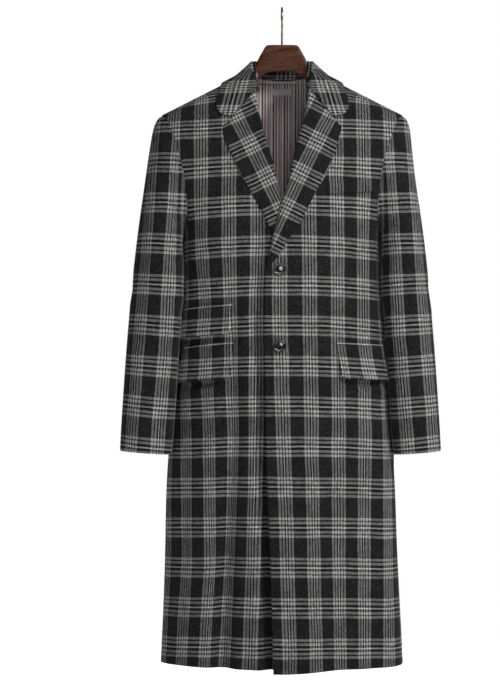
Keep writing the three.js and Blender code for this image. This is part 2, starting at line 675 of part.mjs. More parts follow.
function addCollarLeaf() {
  const folds = finer(bothHalves(COLLAR, (row, side) => (
    new THREE.Vector3(side * row.foldX, row.foldY, row.foldZ))), COLLAR_STEPS);
  const edges = finer(bothHalves(COLLAR, collarEdgePoint), COLLAR_STEPS);
  const grid = folds.map((fold, i) => Array.from({ length: COLLAR_COLUMNS + 1 }, (_, j) => {
    const t = j / COLLAR_COLUMNS;
    const p = fold.clone().lerp(edges[i], t);
    p.z -= COLLAR_FOLD_HOLLOW * Math.sin(Math.PI * t);
    return pushClear(p, COLLAR_CLEAR);
  }));
  const leftGorge = gorgeRow(COLLAR[0], -1);
  const rightGorge = gorgeRow(COLLAR[0], 1);
  grid[0] = leftGorge.map((g) => g.point);
  grid[grid.length - 1] = rightGorge.map((g) => g.point);
  const normals = gridNormals(grid).map((row) => row.map((n) => n.negate()));
  normals[0] = leftGorge.map((g) => g.normal);
  normals[normals.length - 1] = rightGorge.map((g) => g.normal);
  addWall('collar_leaf', grid, { flip: true, normals });
}

function towardsNeck(p, distance) {
  return new THREE.Vector3(-p.x, NECK_CENTRE_Y - p.y, 0).setLength(distance);
}

function addCollarStand() {
  const tops = bothHalves(COLLAR.slice(STAND_FIRST_ROW), (row, side) => {
    const p = new THREE.Vector3(side * row.foldX, row.foldY, row.foldZ - WALL);
    return p.add(towardsNeck(p, WALL + LAY));
  });
  const feet = bothHalves(NECK_SEAM, (row, side) => {
    const turn = row.face === 0 ? 90 : turnOf(row.x, row.z, row.face);
    const p = bodySurface(row.z, turn * side);
    p.z -= STAND_DROP;
    return p.add(towardsNeck(p, STAND_INSET));
  });
  const lower = finer(feet, COLLAR_STEPS);
  const upper = finer(tops, COLLAR_STEPS);
  const grid = upper.map((top, i) => [0, 0.5, 1].map((t) => top.clone().lerp(lower[i], t)));
  addWall('collar_stand', grid, { flip: true });
}

addCollarLeaf();
addCollarStand();

// Flaps: made from the front's points, moved out
function flapGrid(flap, topZ, lowZ, rows, outAt) {
  return Array.from({ length: rows + 1 }, (_, i) => {
    const down = i / rows;
    return Array.from({ length: FLAP_COLUMNS + 1 }, (__, j) => {
      const t = j / FLAP_COLUMNS;
      const z = mix(topZ(t), lowZ(t), down);
      const outer = turnOf(mix(flap.topOuter[0], flap.lowOuter[0], down), z);
      const inner = turnOf(mix(flap.topInner[0], flap.lowInner[0], down), z);
      return frontSurface(flap.side, z, flap.side * mix(outer, inner, t), outAt(down));
    });
  });
}

function addFlap(flap) {
  const topZ = (t) => mix(flap.topOuter[1], flap.topInner[1], t);
  const lowZ = (t) => {
    const fromEnd = Math.min(t, 1 - t) * FLAP_COLUMNS;
    const lift = flap.corner * (1 - Math.min(fromEnd, 1)) * 0.5;
    return mix(flap.lowOuter[1], flap.lowInner[1], t) + lift;
  };
  const springOut = (down) => LAY + FLAP_WALL + FLAP_SPRING * down * down;
  const grid = flapGrid(flap, topZ, lowZ, FLAP_ROWS, springOut);
  addWall(flap.name, grid, { wall: FLAP_WALL, flip: flap.side < 0 });
  const jetLow = (t) => topZ(t) + JET.above;
  const jetTop = (t) => jetLow(t) + JET.height;
  const straight = { ...flap, lowOuter: flap.topOuter, lowInner: flap.topInner };
  const jet = flapGrid(straight, jetTop, jetLow, 1, () => LAY + JET.wall);
  addWall(flap.name.replace('flap', 'jet'), jet, { wall: JET.wall, look: JET_CLOTH, flip: flap.side < 0 });
}

FLAPS.forEach(addFlap);

function addWelt() {
  const columns = 7;
  const grid = [0, 0.5, 1].map((down) => Array.from({ length: columns + 1 }, (_, j) => {
    const t = j / columns;
    const x = mix(WELT.outer[0], WELT.inner[0], t);
    const z = mix(WELT.outer[1], WELT.inner[1], t) - WELT.height * down;
    return frontAt(1, x, z, LAY + WELT.wall);
  }));
  addWall('welt_breast', grid, { wall: WELT.wall });
}

addWelt();

// Buttons: a thick rim round a shallow dish with a low dome in it
function buttonGeometry() {
  const { radius, rim, dish, domeRadius } = BUTTON;
  const profile = [
    [0, 0], [radius - 1.5, 0], [radius, 1.2], [radius, rim - 0.9], [radius - 1.1, rim],
    [radius - 2.4, rim - 0.2], [domeRadius + 0.4, dish - 0.6],
    [domeRadius * 0.7, dish + 0.3], [0, dish + 0.8],
  ];
  return new THREE.LatheGeometry(profile.map(([r, h]) => new THREE.Vector2(r, h)), 20);
}

function addButton({ name, z, seat }) {
  const button = addPiece(name, buttonGeometry(), HORN);
  button.position.copy(frontAt(1, BUTTON.x, z, seat));
  const facing = frontNormal(1, BUTTON.x, z).normalize();
  button.quaternion.setFromUnitVectors(new THREE.Vector3(0, 1, 0), facing);
}

BUTTONS.forEach(addButton);

// Lining, tape and label lie one on another inside the back
function addInsidePatch(name, patch, depth, rows, look, centreX = 0) {
  const columns = Math.max(4, Math.round(patch.halfWidth / 12) * 2);
  const grid = Array.from({ length: rows + 1 }, (_, i) => {
    const z = mix(patch.top, patch.bottom, i / rows);
    return Array.from({ length: columns + 1 }, (__, j) => {
      const x = centreX + mix(-patch.halfWidth, patch.halfWidth, j / columns);
      const side = Math.sign(x || 1);
      return backSurface(z, side * (180 - turnOf(Math.abs(x), z)), -depth);
    });
  });
  addWall(name, grid, { wall: patch.wall, look });
}

addInsidePatch('lining_back', LINING, WALL + LAY, 10, STRIPE);
addInsidePatch('neck_tape', TAPE, WALL + LAY, 1, WHITE_TAPE);
addInsidePatch('label', LABEL, WALL + LAY + LINING.wall + LABEL_LAY, 2, WHITE_TAPE, LABEL.centreX);

// Hanger body: rounded sections, one above each other place across the shoulders
function hangerSection(x, top, bottom, half) {
  const round = Math.min(half * 0.6, (top - bottom) * 0.3);
  const corners = [
    [half - round, top - round, 0], [-(half - round), top - round, 90],
    [-(half - round), bottom + round, 180], [half - round, bottom + round, 270],
  ];
  return corners.flatMap(([y, z, start]) => [0, 45, 90].map((turn) => {
    const angle = (start + turn) * DEG;
    return new THREE.Vector3(x, y + round * Math.cos(angle), z + round * Math.sin(angle));
  }));
}

function ridgeHeight(x) {
  const a = BODY[1];
  const b = BODY[4];
  return mix(a.z, b.z, (x - a.side) / (b.side - a.side));
}

function addHangerBody() {
  const half = HANGER.map((row) => ({ ...row, top: row.top || ridgeHeight(row.x) - HANGER_UNDER_RIDGE }));
  const rows = [...half.slice(1).reverse().map((row) => ({ ...row, x: -row.x })), ...half];
  const rings = rows.map((row) => hangerSection(row.x, row.top, row.bottom, row.half));
  const count = rings[0].length;
  const index = [];
  for (let i = 0; i < rings.length - 1; i += 1) {
    for (let k = 0; k < count; k += 1) {
      const a = i * count + k;
      const b = i * count + ((k + 1) % count);
      index.push(a, b, b + count, a, b + count, a + count);
    }
  }
  const end = (rings.length - 1) * count;
  for (let k = 1; k < count - 1; k += 1) {
    index.push(0, k + 1, k);
    index.push(end, end + k, end + k + 1);
  }
  const positions = rings.flat().flatMap((p) => [p.x, p.y, p.z]);
  const geometry = new THREE.BufferGeometry()
    .setAttribute('position', new THREE.Float32BufferAttribute(positions, 3))
    .setIndex(index);
  addPiece('hanger_body', geometry, WALNUT);
}

// Hook: a bent wire that passes in front of the rail and ends behind it
function addHook() {
  const radius = HOOK.inner + HOOK.wire / 2;
  const points = [];
  for (let angle = HOOK.tipAngle; angle <= HOOK.endAngle; angle += 15) {
    const rise = radius * Math.sin(angle * DEG);
    points.push(new THREE.Vector3(0, radius * Math.cos(angle * DEG), rise - HOOK.inner));
  }
  points.push(new THREE.Vector3(0, -1.2, HOOK.stemTop + 6));
  points.push(new THREE.Vector3(0, 0, HOOK.stemTop));
  points.push(new THREE.Vector3(0, 0, (HOOK.stemTop + HOOK.stemFoot) / 2));
  points.push(new THREE.Vector3(0, 0, HOOK.stemFoot));
  const wire = new THREE.Shape();
  wire.absarc(0, 0, HOOK.wire / 2, 0, 2 * Math.PI, false);
  const path = new THREE.CatmullRomCurve3(points, false, 'centripetal');
  const settings = { steps: 36, curveSegments: 5, bevelEnabled: false, extrudePath: path };
  addPiece('hanger_hook', new THREE.ExtrudeGeometry(wire, settings), PALE_BRASS);
}

addHangerBody();
addHook();

export default coat;
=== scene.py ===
"""Wool overcoat hanging on a wooden hanger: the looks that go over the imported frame.

The tables hold millimetres, as a cutter would write them, and a point becomes metres when its
vertex is placed. +Z is up, -Y is the front of the coat and the origin is the inside top of the
hook. Side -1 is the viewer's left and side +1 the viewer's right.
"""

import logging
from dataclasses import dataclass
from enum import Enum
from typing import Callable, Sequence

import bmesh
import bpy
import numpy as np
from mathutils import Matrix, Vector


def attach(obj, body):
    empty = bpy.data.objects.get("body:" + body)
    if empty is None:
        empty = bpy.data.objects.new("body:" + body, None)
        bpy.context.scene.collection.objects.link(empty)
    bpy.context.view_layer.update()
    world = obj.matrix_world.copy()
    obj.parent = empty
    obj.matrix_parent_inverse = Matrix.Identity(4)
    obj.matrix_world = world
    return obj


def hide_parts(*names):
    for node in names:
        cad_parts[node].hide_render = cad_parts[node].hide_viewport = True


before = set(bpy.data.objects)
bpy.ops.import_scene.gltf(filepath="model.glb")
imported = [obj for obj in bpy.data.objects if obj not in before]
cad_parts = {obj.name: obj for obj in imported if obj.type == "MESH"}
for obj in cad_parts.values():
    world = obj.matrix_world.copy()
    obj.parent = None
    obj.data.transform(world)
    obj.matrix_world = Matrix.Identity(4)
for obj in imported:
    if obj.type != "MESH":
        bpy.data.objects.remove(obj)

LOG = logging.getLogger("overcoat")
MM = 0.001
WELD = 0.00001
Grid = np.ndarray
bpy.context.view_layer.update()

# Thickness of the coating, and how far one layer lies off the next.
WALL = 3.0
LAY = 0.6
# Heights of the armholes' ends, of the point where the lapels break and of the hem.
ARMHOLE_TOP = -208.0
ARMHOLE_FOOT = -430.0
BREAK = -509.0
HEM = -1273.0
# The check: its repeats, the height of a weft band at the centre and its drop at the sides.
WARP_REPEAT = 55.0
WEFT_REPEAT = 76.5
WEFT_LINE = -465.3
SIDE_DROP = 9.0
# The turn of the side seams, in degrees from the centre front.
SIDE_TURN = 90.0


# Sums on grids of points


def smooth(share: Grid) -> Grid:
    """Eases a share from 0 to 1, flat at both ends."""
    share = np.clip(share, 0.0, 1.0)
    return share * share * (3.0 - 2.0 * share)


def eased(value: Grid, start: float, full: float) -> Grid:
    """Eases from 0 where a value is at the start to 1 where it is full."""
    return smooth((value - start) / (full - start))


def mix(first: Grid, second: Grid, share: Grid) -> Grid:
    """Goes from the first value to the second as the share goes from 0 to 1."""
    return first + (second - first) * share


def gathered(count: int, pull: float = 0.8) -> Grid:
    """Shares from 0 to 1 that lie closer together near both ends.

    Args:
        count: How many steps there are.
        pull: How much closer they lie at the ends, from 0 to 1.

    Returns:
        count + 1 rising shares.
    """
    even = np.linspace(0.0, 1.0, count + 1)
    return even - pull * np.sin(2.0 * np.pi * even) / (2.0 * np.pi)


def unit(vectors: Grid) -> Grid:
    """Scales vectors to length one."""
    return vectors / np.maximum(np.linalg.norm(vectors, axis=-1, keepdims=True), 1e-9)


def run_along(points: Grid, axis: int) -> Grid:
    """Length walked along one axis of a grid of points, from its first row or column."""
    steps = np.linalg.norm(np.diff(points, axis=axis), axis=-1)
    pad = [(0, 0), (0, 0)]
    pad[axis] = (1, 0)
    return np.pad(np.cumsum(steps, axis=axis), pad)


def grid_normals(points: Grid) -> Grid:
    """Unit normals of a grid of points: along its columns, crossed with down its rows."""
    down, along = np.gradient(points, axis=(0, 1))
    return unit(np.cross(along, down))


def stacked(x: Grid, y: Grid, z: Grid) -> Grid:
    """Puts three grids of numbers together as a grid of points."""
    return np.stack(np.broadcast_arrays(x, y, z), axis=-1).astype(float)


class Table:
    """Rows of named sizes, read at any place between its rows."""

    def __init__(self, names: str, *rows: Sequence[float]) -> None:
        """Keeps the rows by column.

        Args:
            names: The columns' names, the first of them the place of a row.
            rows: One row of numbers for each place.
        """
        columns = np.array(rows, float).T
        self.sign = 1.0 if columns[0][-1] > columns[0][0] else -1.0
        self.places = columns[0] * self.sign
        self.columns = dict(zip(names.split(), columns))

    def line(self, name: str, at: Grid) -> Grid:
        """Reads a column straight between rows."""
        return np.interp(np.asarray(at) * self.sign, self.places, self.columns[name])

    def curve(self, name: str, at: Grid) -> Grid:
        """Reads a column as a smooth curve through its rows.

        Args:
            name: The column.
            at: Places between the first row and the last.

        Returns:
            The column's values at those places.
        """
        value, place = self.columns[name], self.places
        at = np.asarray(at, float) * self.sign
        slope = np.empty_like(value)
        slope[1:-1] = (value[2:] - value[:-2]) / (place[2:] - place[:-2])
        slope[0] = (value[1] - value[0]) / (place[1] - place[0])
        slope[-1] = (value[-1] - value[-2]) / (place[-1] - place[-2])
        i = np.clip(np.searchsorted(place, at, side="right") - 1, 0, len(place) - 2)
        span = place[i + 1] - place[i]
        t = (at - place[i]) / span
        t2, t3 = t * t, t * t * t
        return (
            (2 * t3 - 3 * t2 + 1) * value[i]
            + (t3 - 2 * t2 + t) * span * slope[i]
            + (3 * t2 - 2 * t3) * value[i + 1]
            + (t3 - t2) * span * slope[i + 1]
        )

    def point(self, at: Grid) -> Grid:
        """Reads the columns x, y and z as smooth curves, as points."""
        return stacked(self.curve("x", at), self.curve("y", at), self.curve("z", at))


@dataclass(frozen=True)
class Crease:
    """A soft trough in the cloth, or a ridge where its depth is below zero.

    It runs from one end to the other, bows a little and dies away at both ends.
    """

    start: tuple[float, float]
    end: tuple[float, float]
    width: float
    depth: float
    bow: float = 0.0
    fade = 0.35
    ridge, ridge_at = 0.3, 1.9

    def inward(self, across: Grid, along: Grid) -> Grid:
        """How far the cloth goes in at places given across and along the piece."""
        line = np.subtract(self.end, self.start)
        length = float(np.hypot(*line))
        dx, dz = across - self.start[0], along - self.start[1]
        share = (dx * line[0] + dz * line[1]) / length**2
        bowed = self.bow * np.sin(np.pi * np.clip(share, 0.0, 1.0))
        off = ((dz * line[0] - dx * line[1]) / length - bowed) / self.width
        faded = smooth(share / self.fade) * smooth((1.0 - share) / self.fade)
        shape = np.exp(-off * off) - self.ridge * np.exp(-((np.abs(off) - self.ridge_at) ** 2))
        return self.depth * shape * faded


# Form of the coat


@dataclass(frozen=True)
class SkirtFold:
    """A long soft fold of the skirt: turn is degrees from the centre front."""

    turn: float
    width: float
    depth: float
    start: float


class BodyForm:
    """The body of the coat: level sections, each with a half width, two depths and a squareness."""

    sections = Table(
        "z side front back square",
        (-96, 12.6, 22, 32, 2.6),
        (-121, 62, 34, 44, 2.6),
        (-142, 103.5, 43, 52, 2.6),
        (-170, 159, 54, 60, 2.6),
        (-208, 234, 64, 67, 2.6),
        (-222, 247, 68, 70, 2.6),
        (-250, 256, 76, 74, 2.6),
        (-300, 249, 87, 79, 2.62),
        (-352, 228, 94, 83, 2.7),
        (-400, 201, 98, 85, 2.95),
        (-430, 189, 99, 85, 3.15),
        (-500, 187.5, 100, 83, 3.2),
        (-567, 192, 99, 81, 3.1),
        (-645, 199, 97, 80, 2.95),
        (-723, 204.5, 97, 82, 2.85),
        (-800, 209, 98, 85, 2.75),
        (-866, 215.5, 100, 89, 2.7),
        (-940, 220, 102, 93, 2.6),
        (-1050, 224, 105, 99, 2.55),
        (-1170, 230, 109, 106, 2.5),
        (-1285, 236, 112, 112, 2.5),
    )
    folds = (
        SkirtFold(-31, 7, 16, -650),
        SkirtFold(-46, 9, -5, -740),
        SkirtFold(31, 9, 6, -800),
        SkirtFold(50, 8, 8, -760),
        SkirtFold(128, 10, 9, -720),
        SkirtFold(157, 9, -5, -780),
        SkirtFold(-132, 10, 10, -740),
        SkirtFold(-161, 8, 5, -820),
    )
    straight_above = -215.0
    fall_from, fall_to, fall_less = -480.0, -680.0, 0.95
    swell_begins = (-404.0, -444.0)
    left_swell, left_fades, left_loss = -5.8, (-900.0, -1230.0), 0.75
    right_swell, right_holds = 4.5, (-905.0, -835.0)
    swell_ahead, swell_behind = (80.0, 90.0), (94.0, 128.0)
    laid_flat_from, laid_steps = -313.0, 25
    probe, passes = 0.5, 6

    def side(self, z: Grid) -> Grid:
        """Half width at a height."""
        z = np.asarray(z, float)
        straight, curved = self.sections.line("side", z), self.sections.curve("side", z)
        return np.where(z > self.straight_above, straight, curved)

    def square(self, z: Grid, turn: Grid) -> Grid:
        """Squareness at a height and turn: the under front falls back more evenly."""
        share = eased(z, self.fall_from, self.fall_to)
        on_left_front = (turn < 0) & (turn >= -SIDE_TURN)
        return self.sections.curve("square", z) - np.where(on_left_front, self.fall_less * share, 0.0)

    def fold_depth(self, z: Grid, turn: Grid) -> Grid:
        """How far the skirt's folds take the cloth in."""
        total = np.zeros(np.broadcast(z, turn).shape)
        for fold in self.folds:
            grown = eased(z, fold.start, HEM)
            total = total + fold.depth * grown * np.exp(-(((turn - fold.turn) / fold.width) ** 2))
        return total

    def side_swell(self, z: Grid, turn: Grid) -> Grid:
        """How far the sides fill out behind the sleeves, more lastingly on the viewer's left."""
        begun = eased(z, *self.swell_begins)
        left = self.left_swell * begun * (1.0 - self.left_loss * eased(z, *self.left_fades))
        right = self.right_swell * begun * eased(z, *self.right_holds)
        away = np.abs(turn)
        ahead, behind = eased(away, *self.swell_ahead), 1.0 - eased(away, *self.swell_behind)
        return np.where(turn < 0, left, right) * np.where(away < SIDE_TURN, ahead, behind)

    def point(self, z: Grid, turn: Grid) -> Grid:
        """Point of the outer face: turn 0 is the centre front, 90 the side at +X, 180 the back."""
        across = np.sin(np.radians(turn))
        in_front = np.abs(turn) <= SIDE_TURN
        reach = np.where(in_front, self.sections.curve("front", z), self.sections.curve("back", z))
        depth = reach - self.fold_depth(z, turn)
        square = self.square(z, turn)
        away = np.maximum(1.0 - np.abs(across) ** square, 0.0) ** (1.0 / square)
        x = self.side(z) * across + self.side_swell(z, turn)
        return stacked(x, np.where(in_front, -depth, depth) * away, z)

    def turn_of(self, x: Grid, z: Grid, face: int = -1) -> Grid:
        """Turn of a point that is x from the centre at height z, on the front or the back."""
        turn = np.degrees(np.arcsin(np.clip(x / self.side(z), -1.0, 1.0)))
        return turn if face < 0 else np.where(turn < 0, -180.0, 180.0) - turn

    def clearance(self, p: Grid) -> Grid:
        """How far outside the body's oval points are: 0 on it, growing evenly away from it."""
        z = p[..., 2]
        square = self.sections.curve("square", z)
        front, back = self.sections.curve("front", z), self.sections.curve("back", z)
        depth = np.where(p[..., 1] < 0, front, back)
        across = (np.abs(p[..., 0]) / self.side(z)) ** square
        return (across + (np.abs(p[..., 1]) / depth) ** square) ** (1.0 / square) - 1.0

    def pushed_clear(self, points: Grid, clear: float) -> Grid:
        """Pushes points out of the body until they are clear of it by the given distance."""
        p = points.copy()
        for _ in range(self.passes):
            value = self.clearance(p)
            beside = [self.clearance(p + self.probe * axis) - value for axis in np.eye(3)]
            slope = np.stack(beside, axis=-1) / self.probe
            steep = np.linalg.norm(slope, axis=-1)
            short = np.maximum(clear - value / steep, 0.0)
            p = p + slope / steep[..., None] * short[..., None]
        return p

    def cloth_height(self, x: Grid, z: Grid, face: int) -> Grid:
        """Height of the cloth's own cross lines at a place, with the shoulder laid flat.

        Args:
            x: Places across, in front view.
            z: Heights.
            face: -1 on a front and +1 on the back.

        Returns:
            Millimetres down the cloth, with a weft band's centre at each whole repeat.
        """
        start = self.laid_flat_from
        steps = mix(start, np.maximum(z, start)[..., None], np.linspace(0.0, 1.0, self.laid_steps))
        turns = self.turn_of(np.abs(x)[..., None], steps, face)
        depth = self.point(steps, turns)[..., 1]
        laid = np.hypot(np.diff(steps, axis=-1), np.diff(depth, axis=-1)).sum(axis=-1)
        level = np.where(z > start, start + laid, z)
        droop = SIDE_DROP * (x / self.side(z)) ** 2
        return WEFT_LINE - level - droop


@dataclass(frozen=True)
class Lap:
    """How far the top front is lifted over what lies beneath it."""

    start: float = -290.0
    full: float = -375.0
    chest_lift: float = 8.2
    hem_lift: float = 9.5
    chest_end: float = -530.0
    hem_start: float = -640.0
    full_to: float = 42.0
    gone_at: float = 120.0

    def lift(self, x: Grid, z: Grid) -> Grid:
        """The lift at a place in front view."""
        height = mix(self.chest_lift, self.hem_lift, eased(z, self.chest_end, self.hem_start))
        return height * eased(z, self.start, self.full) * eased(x, self.gone_at, self.full_to)


@dataclass(frozen=True)
class PanelForm:
    """Outer face of one body panel: the body's form, its lap over another and its creases."""

    body: BodyForm
    lap: Lap | None = None
    creases: tuple[Crease, ...] = ()
    turn_step, height_step = 0.4, 0.5

    def bare(self, z: Grid, turn: Grid) -> Grid:
        """The face without creases."""
        p = self.body.point(z, turn)
        if self.lap:
            p[..., 1] -= self.lap.lift(p[..., 0], z)
        return p

    def outward(self, z: Grid, turn: Grid) -> Grid:
        """Outward unit normal of the bare face."""
        around = self.bare(z, turn + self.turn_step) - self.bare(z, turn - self.turn_step)
        along = self.bare(z - self.height_step, turn) - self.bare(z + self.height_step, turn)
        return -unit(np.cross(around, along))

    def point(self, z: Grid, turn: Grid, out: Grid = 0.0) -> Grid:
        """Point of the creased face, moved out by the given distance."""
        z, turn = np.broadcast_arrays(np.asarray(z, float), np.asarray(turn, float))
        p = self.bare(z, turn)
        move = np.zeros(z.shape) + out
        for crease in self.creases:
            move = move - crease.inward(p[..., 0], z)
        return p + self.outward(z, turn) * move[..., None]

    def at(self, x: Grid, z: Grid, out: Grid = 0.0) -> Grid:
        """Point of a front given by its place in front view."""
        return self.point(z, self.body.turn_of(x, z), out)


# Grid of a piece, sewn into an object


def laid_grid(points: Grid) -> tuple[bmesh.types.BMesh, Grid, Grid]:
    """Makes a mesh grid and moves its vertices onto a grid of points.

    Args:
        points: The points, in metres.

    Returns:
        The mesh, and the row and the column of each of its vertices.
    """
    rows, columns = points.shape[0] - 1, points.shape[1] - 1
    bm = bmesh.new()
    bmesh.ops.create_grid(bm, x_segments=columns, y_segments=rows, size=0.5)
    flat = np.array([v.co[:2] for v in bm.verts])
    low, high = flat.min(axis=0), flat.max(axis=0)
    row = np.rint((high[1] - flat[:, 1]) / (high[1] - low[1]) * rows).astype(int)
    column = np.rint((flat[:, 0] - low[0]) / (high[0] - low[0]) * columns).astype(int)
    for vert, place in zip(bm.verts, points[row, column]):
        vert.co = place
    return bm, row, column


def placed(bm: bmesh.types.BMesh, name: str, *materials: bpy.types.Material) -> bpy.types.Object:
    """Makes a smooth object of a finished mesh, in metres, and puts it into the scene."""
    mesh = bpy.data.meshes.new(name)
    bm.to_mesh(mesh)
    bm.free()
    mesh.polygons.foreach_set("use_smooth", np.ones(len(mesh.polygons), bool))
    for material in materials:
        mesh.materials.append(material)
    piece = bpy.data.objects.new(name, mesh)
    bpy.context.scene.collection.objects.link(piece)
    return piece


@dataclass(frozen=True)
class Cut:
    """Flat size of what shows of a piece of cloth, before it was sewn, in metres."""

    width: float
    length: float
    area: float
    rests_on: str = "hanger_body"


@dataclass(frozen=True)
class Cloth:
    """A piece of cloth as a grid of points and the places of its threads.

    facing is 1 where along its columns crossed with down its rows points outwards. rims names
    the edges that are turned in and rounded: l, r, t and b.
    """

    name: str
    points: Grid
    threads: Grid
    facing: int
    wall: float = WALL
    rims: str = "lrtb"
    roundness: float = 1.1
    rim_reach = 1.7

    def rim_distance(self) -> Grid:
        """Distance of each point from the nearest rounded rim."""
        across, down = run_along(self.points, 1), run_along(self.points, 0)
        sides = {
            "l": across,
            "r": across[:, -1:] - across,
            "t": down,
            "b": down[-1:, :] - down,
        }
        return np.min([sides[rim] for rim in self.rims], axis=0)

    def softened(self) -> Grid:
        """The points with their rims rounded off."""
        if not self.rims:
            return self.points
        lowered = self.roundness * np.exp(-((self.rim_distance() / self.rim_reach) ** 2))
        return self.points - self.facing * grid_normals(self.points) * lowered[..., None]

    def sewn(self, outer: bpy.types.Material, inner: bpy.types.Material) -> bpy.types.Object:
        """Makes the piece an object with its wall, its threads as its UV map, and its materials.

        Args:
            outer: Material of the right side and the edges.
            inner: Material of the wrong side.

        Returns:
            The object, placed at the origin.
        """
        bm, row, column = laid_grid(self.softened() * MM)
        if self.facing > 0:
            bmesh.ops.reverse_faces(bm, faces=bm.faces)
        piece = placed(bm, self.name, outer, inner)
        mesh = piece.data
        corners = np.empty(len(mesh.loops), np.int32)
        mesh.loops.foreach_get("vertex_index", corners)
        threads = (self.threads[row, column] * MM)[corners]
        layer = mesh.uv_layers.new(name="threads")
        layer.data.foreach_set("uv", threads.astype(np.float32).ravel())
        wall = piece.modifiers.new("wall", "SOLIDIFY")
        wall.thickness = self.wall * MM
        wall.offset = -1.0
        wall.material_offset = 1
        wall.use_quality_normals = True
        return piece


def declare(piece: bpy.types.Object, nodes: Sequence[str]) -> None:
    """Hangs a piece from the root, hides the solids that it stands for and logs its faces and area.

    Args:
        piece: The finished object.
        nodes: The solids that it replaces.
    """
    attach(piece, "root")
    if nodes:
        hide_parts(*nodes)
    area = sum(face.area for face in piece.data.polygons)
    LOG.info("%s: %d faces, %.5f square metres", piece.name, len(piece.data.polygons), area)


# Finishes


class Nodes:
    """Adds shader nodes to a tree and joins them up."""

    def __init__(self, tree: bpy.types.NodeTree) -> None:
        """Keeps the tree that the nodes go into."""
        self.tree = tree

    def feed(self, node: bpy.types.Node, feeds: dict) -> None:
        """Links sockets to a node's inputs, by name or place, or sets their values."""
        for socket, value in feeds.items():
            if isinstance(value, bpy.types.NodeSocket):
                self.tree.links.new(value, node.inputs[socket])
            else:
                node.inputs[socket].default_value = value

    def add(self, kind: str, feeds: dict | None = None, **settings: object) -> bpy.types.Node:
        """Adds one node.

        Args:
            kind: The node's type.
            feeds: Values or sockets for its inputs, by name or place.
            settings: Its own settings.

        Returns:
            The node.
        """
        node = self.tree.nodes.new(kind)
        for name, value in settings.items():
            setattr(node, name, value)
        self.feed(node, feeds or {})
        return node

    def math(self, operation: str, *values: object) -> bpy.types.NodeSocket:
        """Result of a sum."""
        return self.add("ShaderNodeMath", dict(enumerate(values)), operation=operation).outputs[0]

    def noise(self, place: object, scale: float, detail: float = 2.0) -> bpy.types.NodeSocket:
        """Soft noise between 0 and 1."""
        feeds = {"Vector": place, "Scale": scale, "Detail": detail}
        return self.add("ShaderNodeTexNoise", feeds).outputs["Fac"]

    def spread(
        self, value: object, low: float, high: float, first: float = 0.0, last: float = 1.0
    ) -> bpy.types.NodeSocket:
        """Carries the stretch between low and high over to the one between first and last."""
        feeds = {0: value, 1: low, 2: high, 3: first, 4: last}
        return self.add("ShaderNodeMapRange", feeds).outputs[0]

    def level(self, value: object) -> bpy.types.NodeSocket:
        """A grey of the given level."""
        return self.add("ShaderNodeCombineColor", {0: value, 1: value, 2: value}).outputs[0]

    def ramp(self, value: object, stops: Sequence[tuple], hard: bool = False) -> bpy.types.NodeSocket:
        """Colours along a value.

        Args:
            value: Where to read, from 0 to 1.
            stops: Places, each with its red, green and blue.
            hard: True where each colour runs unchanged to the next stop.

        Returns:
            The colour.
        """
        node = self.add("ShaderNodeValToRGB", {0: value})
        ramp = node.color_ramp
        ramp.interpolation = "CONSTANT" if hard else "LINEAR"
        while len(ramp.elements) < len(stops):
            ramp.elements.new(1.0)
        for element, (place, colour) in zip(ramp.elements, stops):
            element.position = place
            element.color = (*colour, 1.0)
        return node.outputs["Color"]

    def blend(
        self, share: object, first: object, second: object, way: str = "MIX"
    ) -> bpy.types.NodeSocket:
        """Mixes two colours by a share."""
        feeds = {0: share, 6: first, 7: second}
        return self.add("ShaderNodeMix", feeds, data_type="RGBA", blend_type=way).outputs[2]

    def stretched(self, place: object, scale: tuple[float, float, float]) -> bpy.types.NodeSocket:
        """Coordinates scaled by hand along each axis."""
        return self.add("ShaderNodeMapping", {"Vector": place, "Scale": scale}).outputs[0]


class Effect:
    """A shared shader effect: its tree, its nodes and the sockets that come in."""

    def __init__(self, name: str, inputs: dict[str, str], outputs: dict[str, str]) -> None:
        """Starts the effect.

        Args:
            name: Its name.
            inputs: The kind of each input, by name.
            outputs: The kind of each output, by name.
        """
        self.tree = bpy.data.node_groups.new(name, "ShaderNodeTree")
        make = self.tree.interface.new_socket
        for in_out, sockets in (("INPUT", inputs), ("OUTPUT", outputs)):
            for label, kind in sockets.items():
                make(name=label, in_out=in_out, socket_type=f"NodeSocket{kind}")
        self.nodes = Nodes(self.tree)
        self.source = self.nodes.add("NodeGroupInput").outputs
        self.results = self.nodes.add("NodeGroupOutput")

    def give(self, **results: bpy.types.NodeSocket) -> bpy.types.NodeTree:
        """Takes the results, by the names of the outputs, and returns the finished tree."""
        self.nodes.feed(self.results, results)
        return self.tree


def grey(level: float, warmth: float = 0.0) -> tuple[float, float, float]:
    """A grey, a little warmer or cooler than neutral."""
    return (level * (1.0 + warmth), level, level * (1.0 - warmth))


@dataclass(frozen=True)
class Yarns:
    """Tones of the yarns in the check."""

    ground: float = 0.0145
    black: float = 0.007
    line: float = 0.45
    white: float = 0.80
    dark: float = 0.7
    warmth: float = 0.012


